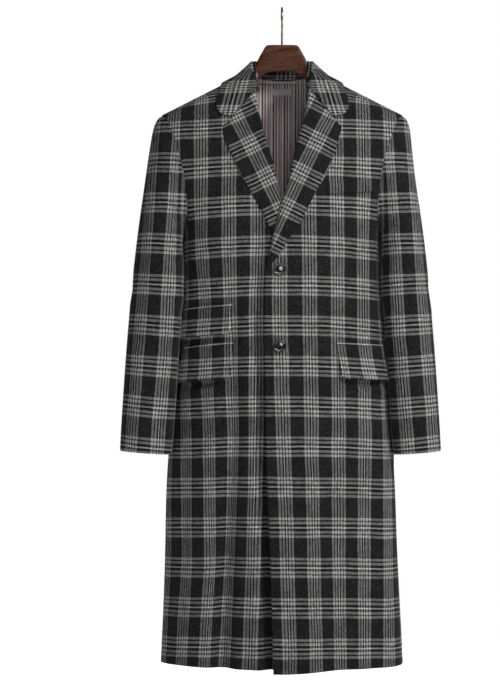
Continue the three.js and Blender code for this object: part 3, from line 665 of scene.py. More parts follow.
@dataclass(frozen=True)
class CheckWeave:
    """Brushed wool in an open check: bands of white, black and grey yarn on a charcoal ground.

    Each band is given from its centre outwards, as the places in millimetres where its white,
    black, grey, dark and second grey yarns end.
    """

    yarns: Yarns = Yarns()
    warp_ends: tuple[float, ...] = (1.05, 3.6, 8.0, 9.8, 14.0)
    weft_ends: tuple[float, ...] = (1.35, 6.3, 11.3, 14.2, 19.0)
    twill: float = 1.5
    wander: float = 0.9
    darkened: float = 0.3
    hair: float = 0.4
    hairiness: float = 0.10

    def bands(
        self, n: Nodes, run: bpy.types.NodeSocket, repeat: float, ends: Sequence[float]
    ) -> bpy.types.NodeSocket:
        """Colour of one set of yarns.

        Args:
            n: The effect's nodes.
            run: Place across the yarns, in metres.
            repeat: The repeat, in millimetres.
            ends: Where the yarns of a band end.

        Returns:
            The colour.
        """
        half, y = repeat / 2.0, self.yarns
        tones = [y.white, y.black, y.line, y.ground * y.dark, y.line, y.ground]
        starts = [0.0, *[end / half for end in ends]]
        stops = [(start, grey(tone, y.warmth)) for start, tone in zip(starts, tones)]
        share = n.math("DIVIDE", n.math("PINGPONG", run, half * MM), half * MM)
        return n.ramp(share, stops, hard=True)

    def build(self) -> bpy.types.NodeTree:
        """Makes the effect: threads, place and nap in, colour and height out."""
        kinds = {"Threads": "Vector", "Place": "Vector", "Nap": "Float"}
        effect = Effect("check weave", kinds, {"Color": "Color", "Height": "Float"})
        n, place = effect.nodes, effect.source["Place"]
        split = n.add("ShaderNodeSeparateXYZ", {0: effect.source["Threads"]}).outputs
        slow = n.math("MULTIPLY", n.math("SUBTRACT", n.noise(place, 14.0), 0.5), 0.004)
        fine = n.math("SUBTRACT", n.noise(place, 900.0, 3.0), 0.5)
        fuzz = n.math("MULTIPLY", fine, self.wander * 2.0 * MM)
        across, down = (n.math("ADD", n.math("ADD", split[axis], slow), fuzz) for axis in (0, 1))
        warp = self.bands(n, across, WARP_REPEAT, self.warp_ends)
        weft = self.bands(n, down, WEFT_REPEAT, self.weft_ends)
        slant = n.math("DIVIDE", n.math("ADD", split[0], split[1]), self.twill * MM / 2.0)
        ragged = n.math("ADD", n.math("PINGPONG", slant, 1.0), n.math("MULTIPLY", fine, 0.6))
        step = {0: ragged, 1: 0.3, 2: 0.7}
        over = n.add("ShaderNodeMapRange", step, interpolation_type="SMOOTHSTEP").outputs[0]
        woven = n.blend(self.darkened, n.blend(over, warp, weft), n.blend(1.0, warp, weft, "DARKEN"))
        nap = n.noise(n.stretched(place, (1.0, 1.0, 0.45)), 420.0, 4.0)
        cloudy = n.noise(place, 45.0, 3.0)
        tone = n.math("ADD", n.math("MULTIPLY", nap, 1.6), n.math("MULTIPLY", cloudy, 0.8))
        brushed = n.math("MAXIMUM", n.math("SUBTRACT", n.math("MULTIPLY", tone, 1.25), 0.5), 0.25)
        rich = n.blend(1.0, woven, n.level(brushed), "MULTIPLY")
        toned = n.blend(effect.source["Nap"], woven, rich)
        hairs = n.spread(n.noise(place, 390.0, 3.0), 0.54, 0.74)
        pale = n.math("MULTIPLY", hairs, self.hairiness)
        height = n.math("ADD", n.math("MULTIPLY", over, 0.35), n.math("MULTIPLY", nap, 0.8))
        return effect.give(Color=n.blend(pale, toned, (*grey(self.hair), 1.0)), Height=height)


@dataclass(frozen=True)
class Stripes:
    """A plain regular stripe for the lining: each yarn with its width in millimetres."""

    yarns: tuple = (
        (4.4, (0.95, 0.93, 0.93)),
        (3.0, (0.05, 0.055, 0.11)),
        (2.6, (0.90, 0.88, 0.89)),
        (2.6, (0.50, 0.035, 0.055)),
        (3.6, (0.95, 0.93, 0.93)),
        (2.2, (0.22, 0.22, 0.26)),
        (2.0, (0.90, 0.88, 0.89)),
        (1.6, (0.50, 0.035, 0.055)),
    )
    rib: float = 0.5

    def build(self) -> bpy.types.NodeTree:
        """Makes the effect: threads and place in, colour and height out."""
        kinds = {"Threads": "Vector", "Place": "Vector"}
        effect = Effect("lining stripe", kinds, {"Color": "Color", "Height": "Float"})
        n = effect.nodes
        repeat = sum(width for width, _ in self.yarns)
        stops, run = [], 0.0
        for width, colour in self.yarns:
            stops.append((run / repeat, colour))
            run += width
        split = n.add("ShaderNodeSeparateXYZ", {0: effect.source["Threads"]}).outputs
        striped = n.ramp(n.math("FRACT", n.math("DIVIDE", split[0], repeat * MM)), stops, hard=True)
        ribbed = n.math("PINGPONG", n.math("DIVIDE", split[1], self.rib * MM), 1.0)
        shade = n.ramp(n.noise(effect.source["Place"], 60.0), [(0.3, grey(0.93)), (0.7, grey(1.0))])
        return effect.give(Color=n.blend(1.0, striped, shade, "MULTIPLY"), Height=ribbed)


@dataclass(frozen=True)
class Grain:
    """Long grain of a dark wood, with fine pores."""

    dark: tuple = (0.080, 0.025, 0.011)
    mid: tuple = (0.118, 0.040, 0.018)
    light: tuple = (0.160, 0.056, 0.025)

    def build(self) -> bpy.types.NodeTree:
        """Makes the effect: place in, colour, roughness and height out."""
        kinds = {"Color": "Color", "Roughness": "Float", "Height": "Float"}
        effect = Effect("wood grain", {"Place": "Vector"}, kinds)
        n, place = effect.nodes, effect.source["Place"]
        bent = n.math("MULTIPLY", n.noise(place, 9.0), 3.0)
        long = n.stretched(place, (6.0, 60.0, 75.0))
        swayed = n.add("ShaderNodeVectorMath", {0: long, 1: bent}, operation="ADD").outputs[0]
        figure = n.noise(swayed, 1.6, 5.0)
        pores = n.noise(n.stretched(place, (60.0, 1100.0, 1100.0)), 1.0, 2.0)
        body = n.ramp(figure, [(0.34, self.dark), (0.52, self.mid), (0.68, self.light)])
        specks = n.ramp(pores, [(0.38, grey(0.45)), (0.5, grey(1.0))])
        rough = n.spread(figure, 0.3, 0.7, 0.32, 0.46)
        return effect.give(Color=n.blend(1.0, body, specks, "MULTIPLY"), Roughness=rough, Height=pores)


@dataclass(frozen=True)
class Uneven:
    """A quiet unevenness of tone that any surface gets from handling, with its mask for relief."""

    def build(self) -> bpy.types.NodeTree:
        """Makes the effect: place, scale, a colour and depth in, the colour and a mask out."""
        kinds = {"Place": "Vector", "Scale": "Float", "Color": "Color", "Depth": "Float"}
        effect = Effect("uneven tone", kinds, {"Color": "Color", "Mask": "Float"})
        n, source = effect.nodes, effect.source
        patches = n.add("ShaderNodeTexNoise", {"Vector": source["Place"], "Scale": source["Scale"]})
        mask = patches.outputs["Fac"]
        change = n.math("MULTIPLY", n.math("SUBTRACT", mask, 0.5), source["Depth"])
        tone = n.level(n.math("ADD", 1.0, change))
        return effect.give(Color=n.blend(1.0, source["Color"], tone, "MULTIPLY"), Mask=mask)


class Surface:
    """A new material: its nodes, its shader and the object's own coordinates."""

    def __init__(self, name: str) -> None:
        """Starts the material under its name."""
        self.material = bpy.data.materials.new(name)
        self.material.use_nodes = True
        self.nodes = Nodes(self.material.node_tree)
        self.shader = next(x for x in self.nodes.tree.nodes if x.type == "BSDF_PRINCIPLED")
        self.place = self.nodes.add("ShaderNodeTexCoord").outputs["Object"]

    def drawn(self, tree: bpy.types.NodeTree, **inputs: object) -> bpy.types.Node:
        """Adds a shared effect, with what goes into it by name."""
        return self.nodes.add("ShaderNodeGroup", inputs, node_tree=tree)

    def bumped(
        self, height: bpy.types.NodeSocket, depth: float, strength: float
    ) -> bpy.types.NodeSocket:
        """Normal of a surface with small relief, its depth in millimetres."""
        feeds = {"Height": height, "Distance": depth * MM, "Strength": strength}
        return self.nodes.add("ShaderNodeBump", feeds).outputs[0]

    def shaded(self, **inputs: object) -> bpy.types.Material:
        """Feeds the shader's inputs, an underscore for each space, and returns the material."""
        self.nodes.feed(self.shader, {name.replace("_", " "): value for name, value in inputs.items()})
        return self.material


@dataclass(frozen=True)
class Plain:
    """A plain finish: its colour and roughness, and the scale and depth of its unevenness."""

    name: str
    colour: tuple[float, float, float]
    rough: float
    scale: float
    depth: float


@dataclass(frozen=True)
class Woven:
    """A cloth's finish: its roughness, how its nap catches light, and the strength of its relief."""

    name: str
    rough: float
    sheen: float
    gloss: float
    relief: float


COATING = Woven("coating", 0.92, 0.08, 0.15, 0.5)
LINING = Woven("striped lining", 0.42, 0.0, 0.5, 0.15)
# The sleeves' plain lining is kept near black, so that where it shows through at the seams and rims it
# reads as painted shade.
SHADE_DARK_SLEEVE_LINING = Plain("dark sleeve lining", (0.035, 0.035, 0.040), 0.5, 90.0, 0.1)
TAPE = Plain("white tape", (0.92, 0.91, 0.89), 0.6, 500.0, 0.25)
LABEL = Plain("bare label", (0.88, 0.87, 0.88), 0.55, 700.0, 0.12)


class Finishes:
    """Every material of the coat, its hanger and the floor."""

    def __init__(self) -> None:
        """Makes the shared effect of unevenness, then the materials."""
        self.uneven = Uneven().build()
        self.coating = self.cloth(COATING, CheckWeave().build(), Nap=1.0)
        self.lining = self.cloth(LINING, Stripes().build())
        self.sleeve_lining_as_shade = self.plain(SHADE_DARK_SLEEVE_LINING)
        self.tape = self.plain(TAPE)
        self.label = self.plain(LABEL)
        self.horn = self.polished_horn()
        self.walnut = self.waxed_wood()
        self.brass = self.brass_wire()
        self.floor = self.pale_glowing_floor()

    def cloth(self, finish: Woven, weave: bpy.types.NodeTree, **more: float) -> bpy.types.Material:
        """A cloth that follows its threads.

        Args:
            finish: Its finish.
            weave: The effect that draws it.
            more: Further numbers for the effect, by the names of its inputs.

        Returns:
            The material.
        """
        surface = Surface(finish.name)
        threads = surface.nodes.add("ShaderNodeUVMap", uv_map="threads").outputs[0]
        drawn = surface.drawn(weave, Threads=threads, Place=surface.place, **more).outputs
        return surface.shaded(
            Base_Color=drawn["Color"],
            Normal=surface.bumped(drawn["Height"], 0.4, finish.relief),
            Roughness=finish.rough,
            Sheen_Weight=finish.sheen,
            Sheen_Roughness=0.45,
            Specular_IOR_Level=finish.gloss,
        )

    def toned(self, surface: Surface, colour: tuple, scale: float, depth: float) -> bpy.types.Node:
        """A colour made quietly uneven, as the node that gives it."""
        return surface.drawn(
            self.uneven, Place=surface.place, Scale=scale, Color=(*colour, 1.0), Depth=depth
        )

    def plain(self, finish: Plain) -> bpy.types.Material:
        """A plain material with a fine unevenness and relief."""
        surface = Surface(finish.name)
        tone = self.toned(surface, finish.colour, finish.scale, finish.depth).outputs
        normal = surface.bumped(tone["Mask"], 0.15, 0.4)
        return surface.shaded(Base_Color=tone["Color"], Normal=normal, Roughness=finish.rough)

    def polished_horn(self) -> bpy.types.Material:
        """Polished dark horn with cloudy streaks."""
        surface = Surface("polished horn")
        nodes = surface.nodes
        streaks = nodes.noise(nodes.stretched(surface.place, (60.0, 60.0, 260.0)), 1.0, 4.0)
        stops = [(0.35, grey(0.006)), (0.6, (0.018, 0.016, 0.015)), (0.8, grey(0.05, 0.1))]
        return surface.shaded(
            Base_Color=nodes.ramp(streaks, stops),
            Roughness=nodes.spread(streaks, 0.3, 0.8, 0.08, 0.16),
            IOR=1.7,
            Coat_Weight=1.0,
            Coat_IOR=1.6,
            Coat_Roughness=0.04,
        )

    def waxed_wood(self) -> bpy.types.Material:
        """Stained and waxed wood."""
        surface = Surface("dark walnut")
        drawn = surface.drawn(Grain().build(), Place=surface.place).outputs
        return surface.shaded(
            Base_Color=drawn["Color"],
            Roughness=drawn["Roughness"],
            Normal=surface.bumped(drawn["Height"], 0.1, 0.25),
            Specular_IOR_Level=0.3,
            Coat_Weight=0.06,
            Coat_Roughness=0.3,
        )

    def brass_wire(self) -> bpy.types.Material:
        """Pale brass wire, drawn and lightly tarnished."""
        surface = Surface("pale brass")
        nodes = surface.nodes
        tone = self.toned(surface, (0.66, 0.50, 0.32), 160.0, 0.35)
        lines = nodes.noise(nodes.stretched(surface.place, (900.0, 900.0, 60.0)), 1.0)
        rough = nodes.spread(lines, 0.0, 1.0, 0.22, 0.4)
        return surface.shaded(Base_Color=tone.outputs["Color"], Roughness=rough, Metallic=1.0)

    def pale_glowing_floor(self) -> bpy.types.Material:
        """The floor: pale, with a painted glow that rises towards its rim until it is as white as the
        room.
        """
        surface = Surface("pale floor")
        nodes = surface.nodes
        tone = self.toned(surface, (0.8, 0.8, 0.8), 3.0, 0.01)
        flat = nodes.stretched(surface.place, (1.0, 1.0, 0.0))
        reach = nodes.add("ShaderNodeVectorMath", {0: flat}, operation="LENGTH").outputs["Value"]
        # Painted light: the floor glows, faintly in the middle and fully at its rim.
        rising = nodes.spread(reach, 0.7, 2.2, 0.12, 1.0)
        return surface.shaded(
            Base_Color=tone.outputs["Color"],
            Roughness=0.9,
            Emission_Color=nodes.level(rising),
            Emission_Strength=0.95,
        )


# Body


class Side(Enum):
    """The viewer's left or right."""

    LEFT = -1
    RIGHT = 1

    @property
    def word(self) -> str:
        """The word in a node's name."""
        return self.name.lower()


ARMHOLE = Table(
    "z front back",
    (-208, 234, 234),
    (-216, 226, 228),
    (-225, 219, 222),
    (-243, 214.5, 215),
    (-263, 207, 209),
    (-289, 198, 203),
    (-322, 191, 198),
    (-355, 186, 194),
    (-390, 183.5, 189.5),
    (-415, 184.5, 188),
    (-430, 189, 189),
)
PANEL_HEIGHTS = np.concatenate(
    [
        np.linspace(-123, ARMHOLE_TOP, 26, endpoint=False),
        np.linspace(ARMHOLE_TOP, -232, 12, endpoint=False),
        np.linspace(-232, -390, 38, endpoint=False),
        np.linspace(-390, ARMHOLE_FOOT, 16, endpoint=False),
        np.linspace(ARMHOLE_FOOT, -1265, 136, endpoint=False),
        np.linspace(-1265, HEM, 5),
    ]
)


def looked_up(grid: Grid, row: Grid, column: Grid) -> Grid:
    """Reads a grid of numbers between its rows and columns, which are counted from 0."""
    row = np.clip(row, 0, grid.shape[0] - 1.001)
    column = np.clip(column, 0, grid.shape[1] - 1.001)
    i, j = row.astype(int), column.astype(int)
    a, b = row - i, column - j
    top = mix(grid[i, j], grid[i, j + 1], b)
    return mix(top, mix(grid[i + 1, j], grid[i + 1, j + 1], b), a)


class FrontThreads:
    """Places of the warp bands on one front, by height, carried on round the side at full width."""

    def __init__(self, body: BodyForm, bands: Sequence[int], rows: Sequence[Sequence[float]]) -> None:
        """Lays the threads out once.

        Args:
            body: The coat's form.
            bands: Numbers of the bands, rising with x.
            rows: Heights, each with the x of every band.
        """
        self.body = body
        self.heights = np.linspace(-120.0, -1284.0, 195)
        self.turns = np.linspace(-90.0, 90.0, 241)
        points = body.point(self.heights[:, None], self.turns[None, :])
        arcs = run_along(points, 1)
        table = np.array(rows, float)
        order = np.argsort(table[:, 0])
        laid = np.empty_like(arcs)
        for i, height in enumerate(self.heights):
            knots = [np.interp(height, table[order, 0], table[order, 1 + k]) for k in range(len(bands))]
            at = np.interp(knots, points[i, :, 0], arcs[i])
            threads = np.array(bands) * WARP_REPEAT
            inside = np.interp(arcs[i], at, threads)
            before = threads[0] + arcs[i] - at[0]
            after = threads[-1] + arcs[i] - at[-1]
            laid[i] = np.where(arcs[i] < at[0], before, np.where(arcs[i] > at[-1], after, inside))
        self.laid = laid

    def across(self, z: Grid, turn: Grid) -> Grid:
        """Thread coordinate across the cloth, in millimetres."""
        row = (self.heights[0] - z) / (self.heights[0] - self.heights[1])
        column = (turn - self.turns[0]) / (self.turns[1] - self.turns[0])
        return looked_up(self.laid, row, column)

    def at(self, x: Grid, z: Grid) -> Grid:
        """Both thread coordinates at places in front view."""
        down = self.body.cloth_height(x, z, -1)
        return np.stack([self.across(z, self.body.turn_of(x, z)), down], axis=-1)


def panel_grid(
    body: BodyForm, inner_x: Grid, side: Side, face: int, columns: int
) -> tuple[Grid, Grid]:
    """Heights and turns of a panel: even to the side seam's turn, drawn in near the armhole.

    Args:
        body: The coat's form.
        inner_x: Distance of the inner edge from the centre, at each of the panel heights.
        side: The panel's side.
        face: -1 for a front and +1 for the back.
        columns: Steps across.

    Returns:
        Heights and turns.
    """
    z = PANEL_HEIGHTS
    inner = body.turn_of(inner_x, z, face)[:, None]
    armhole = body.turn_of(ARMHOLE.line("front" if face < 0 else "back", z), z, face)
    outer = np.where((z < ARMHOLE_TOP) & (z > ARMHOLE_FOOT), armhole, SIDE_TURN)[:, None]
    t = gathered(columns)[None, :]
    turns = side.value * (mix(inner, SIDE_TURN, t) - (SIDE_TURN - outer) * t**1.8)
    return np.repeat(z[:, None], columns + 1, axis=1), turns


@dataclass(frozen=True)
class Front:
    """One front of the coat, cut in one from shoulder to hem."""

    side: Side
    form: PanelForm
    threads: FrontThreads
    edge: Table
    cut: Cut
    columns: int = 58
    roll_inset: float = 4.2
    roll_starts = (-150.0, -164.0)
    hem_drop: float = 6.0
    drop_from, drop_width = -1160.0, 120.0

    def inner_edge(self) -> Grid:
        """x of the inner edge, set back where the lapel rolls round it."""
        z = PANEL_HEIGHTS
        rolled = eased(z, *self.roll_starts) * eased(z, BREAK, BREAK + 12.0)
        return self.edge.line("x", z) + self.roll_inset * rolled

    def points(self) -> tuple[Grid, Grid]:
        """Points of the panel's face, and their threads."""
        body = self.form.body
        height, turns = panel_grid(body, self.inner_edge(), self.side, -1, self.columns)
        x = self.form.bare(height, turns)[..., 0]
        if self.side is Side.RIGHT:
            dropped = eased(height, self.drop_from, HEM) * eased(x, self.drop_width, 0.0)
            height = height - self.hem_drop * dropped
        across, down = self.threads.across(height, turns), body.cloth_height(x, height, -1)
        return self.form.point(height, turns), np.stack([across, down], axis=-1)

    def build(self, finishes: Finishes) -> None:
        """Sews the front."""
        name = f"front_{self.side.word}"
        sewn = Cloth(f"{name}_cloth", *self.points(), -self.side.value)
        declare(sewn.sewn(finishes.coating, finishes.lining), [name])


@dataclass(frozen=True)
class Back:
    """One half of the back."""

    side: Side
    form: PanelForm
    cut: Cut
    columns: int = 52
    neckline = Table("z x", (-123, 60), (-126.5, 51), (-129.3, 36), (-131, 0), (-1285, 0))

    def build(self, finishes: Finishes) -> None:
        """Sews the half back."""
        body, inner = self.form.body, self.neckline.line("x", PANEL_HEIGHTS)
        height, turns = panel_grid(body, inner, self.side, 1, self.columns)
        points = self.form.point(height, turns)
        walk = self.side.value * run_along(points, 1) + points[:, :1, 0]
        threads = np.stack([walk, body.cloth_height(points[..., 0], height, 1)], axis=-1)
        name = f"back_{self.side.word}"
        sewn = Cloth(f"{name}_cloth", points, threads, self.side.value)
        declare(sewn.sewn(finishes.coating, finishes.lining), [name])


# Sleeves


@dataclass(frozen=True)
class Sleeve:
    """One sleeve: rings from the armhole to the cuff, cut in a top and an under half."""

    side: Side
    body: BodyForm
    top_cut: Cut
    under_cut: Cut
    creases: tuple[Crease, ...]
    rings = Table(
        "row outX outZ inX inZ depth forward own",
        (0, 234, -208, 189, -430, 60, 0, 0),
        (1, 242.5, -216, 190, -435, 61, 0, 0.12),
        (2, 249, -234, 190.2, -439, 64, 1, 0.3),
        (3, 254, -263, 190.3, -444, 67, 2, 0.5),
        (4, 260, -303, 190.3, -451, 70, 3, 0.7),
        (5, 266.5, -352, 190.4, -463, 71, 4, 0.88),
        (6, 274, -407, 190.4, -481, 70, 5, 1),
        (7, 281.5, -468, 190.6, -512, 67, 6, 1),
        (8, 288.5, -535, 193.4, -556, 63, 8, 1),
        (9, 295, -605, 198.4, -615, 59, 10, 1),
        (10, 301, -680, 204, -686, 55, 12, 1),
        (11, 306, -755, 208.8, -760, 51, 14, 1),
        (12, 310, -820, 213.2, -824, 48, 15, 1),
        (13, 312, -859, 217.8, -866, 47, 15, 1),
    )
    warp_lines = Table(
        "z inner outer",
        (-208, 197.5, 248),
        (-267, 200.6, 251.5),
        (-344, 204.5, 256.3),
        (-419, 209.5, 260.2),
        (-496, 214.5, 265),
        (-569, 218, 271),
        (-645, 222, 276.5),
        (-722, 228.2, 283),
        (-799, 235, 289),
        (-870, 240.5, 294),
    )
    inner_square: float = 2.7
    outer_ease: float = 2.2
    inner_ease: float = 3.8
    swing: float = 14.0
    shift: float = 0.0
    reach_in: float = 0.0
    armhole_tuck: float = 1.6
    clear: float = 1.0
    front_seam_z: float = -390.0
    back_seam_z: float = -322.0
    mid_front: float = 0.48
    rows: int = 150
    columns: int = 46
    # Rows over which each change comes in.
    head_rows, tuck_rows, hung_rows = (0.0, 3.0), (0.0, 0.5), (3.5, 7.0)
    shift_rows, reach_rows, clear_rows = (0.5, 5.0), (4.5, 8.5), (4.5, 7.0)
    # The sleeve's own weft, and how much its bands tilt at two depths.
    weft_line, weft_repeat = -460.8, 78.2
    tilt_depths, tilts = (350.0, 850.0), (0.03, 0.1)

    def armhole(self, face: int) -> tuple[Grid, Grid, Grid]:
        """Shares, heights and points of the armhole seam from the shoulder tip to its foot."""
        z = np.linspace(ARMHOLE_TOP, ARMHOLE_FOOT, 400)
        x = ARMHOLE.line("front" if face < 0 else "back", z)
        points = self.body.point(z, self.body.turn_of(x, z, face))
        run = run_along(points[:, None], 0)[:, 0]
        return run / run[-1], z, points

    def seam_points(self, shares: Grid) -> Grid:
        """Points of the armhole seam at shares of the ring, 0 at the shoulder and 1 at the foot."""
        front, back = self.armhole(-1), self.armhole(1)
        own = np.where(shares < 0, -shares, np.where(shares > 1, 2.0 - shares, shares))
        behind = (shares < 0) | (shares > 1)
        axes = []
        for axis in range(3):
            ahead = np.interp(own, front[0], front[2][:, axis])
            axes.append(np.where(behind, np.interp(own, back[0], back[2][:, axis]), ahead))
        return np.stack(axes, axis=-1)

    def ring_points(self, row: Grid, shares: Grid) -> Grid:
        """Points of the rings: round on the outside and flatter where they lie along the body."""
        names = ("outX", "outZ", "inX", "inZ", "depth", "forward")
        out_x, out_z, in_x, in_z, depth, forward = (self.rings.curve(name, row) for name in names)
        hung = eased(row, *self.hung_rows)
        out_x = out_x + self.outer_ease * eased(row, *self.head_rows)
        out_x = out_x - self.shift * eased(row, *self.shift_rows)
        nearer = (self.shift + self.reach_in) * eased(row, *self.reach_rows)
        in_x = in_x + self.inner_ease * hung - nearer
        cosine, sine = np.cos(shares * np.pi), np.sin(shares * np.pi)
        power = np.where(cosine < 0, 2.0 / self.inner_square, 1.0)
        out = np.sign(cosine) * np.abs(cosine) ** power
        ahead = np.sign(sine) * np.abs(sine) ** power
        x = (out_x + in_x) / 2.0 + (out_x - in_x) / 2.0 * out
        z = (out_z + in_z) / 2.0 + (out_z - in_z) / 2.0 * out
        return stacked(x, -(forward + self.swing * hung) - depth * ahead, z)

    def points(self, shares: Grid) -> Grid:
        """Points of the sleeve's face at the given shares of every ring."""
        place = np.linspace(0.0, 1.0, self.rows + 1)
        row = (self.rings.places[-1] * (0.8 * place + 0.2 * place**1.8))[:, None]
        own = self.ring_points(row, shares[None, :])
        seam = self.seam_points(shares)[None] - self.ring_points(np.zeros((1, 1)), shares[None, :])
        leaving = np.clip(self.rings.curve("own", row), 0.0, 1.0)[..., None]
        p = own + seam * (1.0 - leaving)
        p[..., 0] -= self.armhole_tuck * (1.0 - eased(row, *self.tuck_rows))
        clear = self.body.pushed_clear(p, self.clear)
        return mix(p, clear, eased(row, *self.clear_rows)[..., None])

    def threads_across(self, shares: Grid) -> tuple[Grid, Grid]:
        """Places of the warp along every ring.

        Between its two bands the front shows the warp where the tables say, and round the
        sides the cloth runs on at its full width.

        Args:
            shares: Shares of the rings.

        Returns:
            Thread coordinates, and lengths walked from the middle of the front.
        """
        fine = np.linspace(-1.0, 2.0, 361)
        points = self.points(fine)
        inner = self.warp_lines.line("inner", points[..., 2])
        outer = self.warp_lines.line("outer", points[..., 2])
        level = (points[..., 0] - inner) / (outer - inner)
        ahead = (fine >= 0.0) & (fine <= 1.0)
        across, walk = [], []
        for reach, run in zip(level, run_along(points, 1)):
            share, seen = fine[ahead][::-1], reach[ahead][::-1]
            first, last = np.interp(1.0, seen, share), np.interp(0.0, seen, share)
            held, at = np.interp(shares, fine, reach), np.interp(shares, fine, run)
            at_first, at_last, at_middle = np.interp((first, last, self.mid_front), fine, run)
            start = WARP_REPEAT * np.interp(first, fine, reach)
            laid = np.where(shares < first, start + at_first - at, WARP_REPEAT * held)
            across.append(np.where(shares > last, at_last - at, laid))
            walk.append(at - at_middle)
        return np.array(across), np.array(walk)

    def half(self, shares: Grid) -> tuple[Grid, Grid]:
        """Points and threads of one half."""
        p = self.points(shares)
        middle = self.points(np.array([0.0, 1.0]))
        centre_x = (middle[:, 0, 0] + middle[:, 1, 0])[:, None] / 2.0
        z = p[..., 2]
        tilt = np.interp(-z, self.tilt_depths, self.tilts)
        down = (self.weft_line - z + tilt * (p[..., 0] - centre_x)) * WEFT_REPEAT / self.weft_repeat
        across, walk = self.threads_across(shares)
        inward = np.zeros(z.shape)
        for crease in self.creases:
            inward = inward + crease.inward(walk, z)
        p = p - grid_normals(p) * inward[..., None]
        p[..., 0] *= self.side.value
        return p, np.stack([across, down], axis=-1)

    def build(self, finishes: Finishes) -> None:
        """Sews both halves."""
        front, back = self.armhole(-1), self.armhole(1)
        front_seam = float(np.interp(-self.front_seam_z, -front[1], front[0]))
        back_seam = 2.0 - float(np.interp(-self.back_seam_z, -back[1], back[0]))
        halves = (
            ("top", back_seam - 2.0, front_seam, self.top_cut),
            ("under", front_seam, back_seam, self.under_cut),
        )
        for half, first, last, cut in halves:
            points, threads = self.half(mix(first, last, gathered(self.columns)))
            name = f"sleeve_{self.side.word}_{half}"
            sewn = Cloth(f"{name}_cloth", points, threads, self.side.value, roundness=0.9)
            # The wrong side is the near-black lining, which reads as painted shade where it shows in
            # gaps.
            declare(sewn.sewn(finishes.coating, finishes.sleeve_lining_as_shade), [name])


# Lapels and collar


FORWARD = np.array([0.0, -1.0, 0.0])
STAND_OFF = 3.0


def roll_out(share: Grid, z: Grid, flat_from: float, flat_to: float) -> Grid:
    """How far a lapel or collar end stands off its front, from the roll to the edge."""
    return LAY + WALL + STAND_OFF * (1.0 - share) ** 2 * eased(z, flat_to, flat_from)


@dataclass(frozen=True)
class Lapel:
    """One lapel: the facing of its front, turned back along the roll line.

    warp_at and warp_way give a warp band's line in front view: a point and a direction.
    """

    side: Side
    form: PanelForm
    rows: Table
    flat_from: float
    flat_to: float
    warp_at: tuple[float, float]
    warp_way: tuple[float, float]
    weft_repeat: float
    cut: Cut
    count: int = 110
    columns: int = 34
    curl_columns: int = 14
    curl_end: float = 155.0
    curl_centre: float = -1.5
    notch_gap: float = 1.0
    notch_rows = (0.0, 0.4)

    def build(self, finishes: Finishes) -> None:
        """Sews the lapel."""
        row = (self.rows.places[-1] * gathered(self.count, 0.4))[:, None]
        names = ("rollX", "rollZ", "edgeX", "edgeZ")
        roll_x, roll_z, edge_x, edge_z = (self.rows.curve(name, row) for name in names)
        gap = self.notch_gap * (1.0 - eased(row, *self.notch_rows))
        across, fall = edge_x - roll_x, edge_z - roll_z
        width = np.hypot(across, fall)
        roll_radius = roll_out(0.0, roll_z, self.flat_from, self.flat_to) - self.curl_centre
        shift = np.minimum(roll_radius, 0.5 * width)
        d_flat = mix(shift, width, gathered(self.columns, 0.6)[None, :])
        share = d_flat / width
        out_flat = roll_out(share, roll_z + fall * d_flat / width, self.flat_from, self.flat_to)
        phi = np.radians(np.linspace(self.curl_end, 0.0, self.curl_columns, endpoint=False))[None, :]
        top = out_flat[:, :1] - self.curl_centre
        d = np.concatenate([shift * (1.0 - np.sin(phi)), d_flat], axis=1)
        out = np.concatenate([self.curl_centre + top * np.cos(phi), out_flat], axis=1)
        x = roll_x + across * d / width
        points = self.form.at(self.side.value * x, roll_z + fall * d / width - gap, out)
        along = np.concatenate([shift - top * phi, d_flat], axis=1)
        dx = self.side.value * (roll_x + across * along / width) - self.warp_at[0]
        dz = roll_z + fall * along / width - self.warp_at[1]
        way_x, way_z = self.warp_way
        down = (dx * way_x + dz * way_z) * (WEFT_REPEAT / self.weft_repeat)
        threads = np.stack([dx * -way_z + dz * way_x, down], axis=-1)
        name = f"lapel_{self.side.word}"
        sewn = Cloth(f"{name}_cloth", points, threads, -self.side.value, rims="rtb", roundness=1.3)
        declare(sewn.sewn(finishes.coating, finishes.coating), [name])


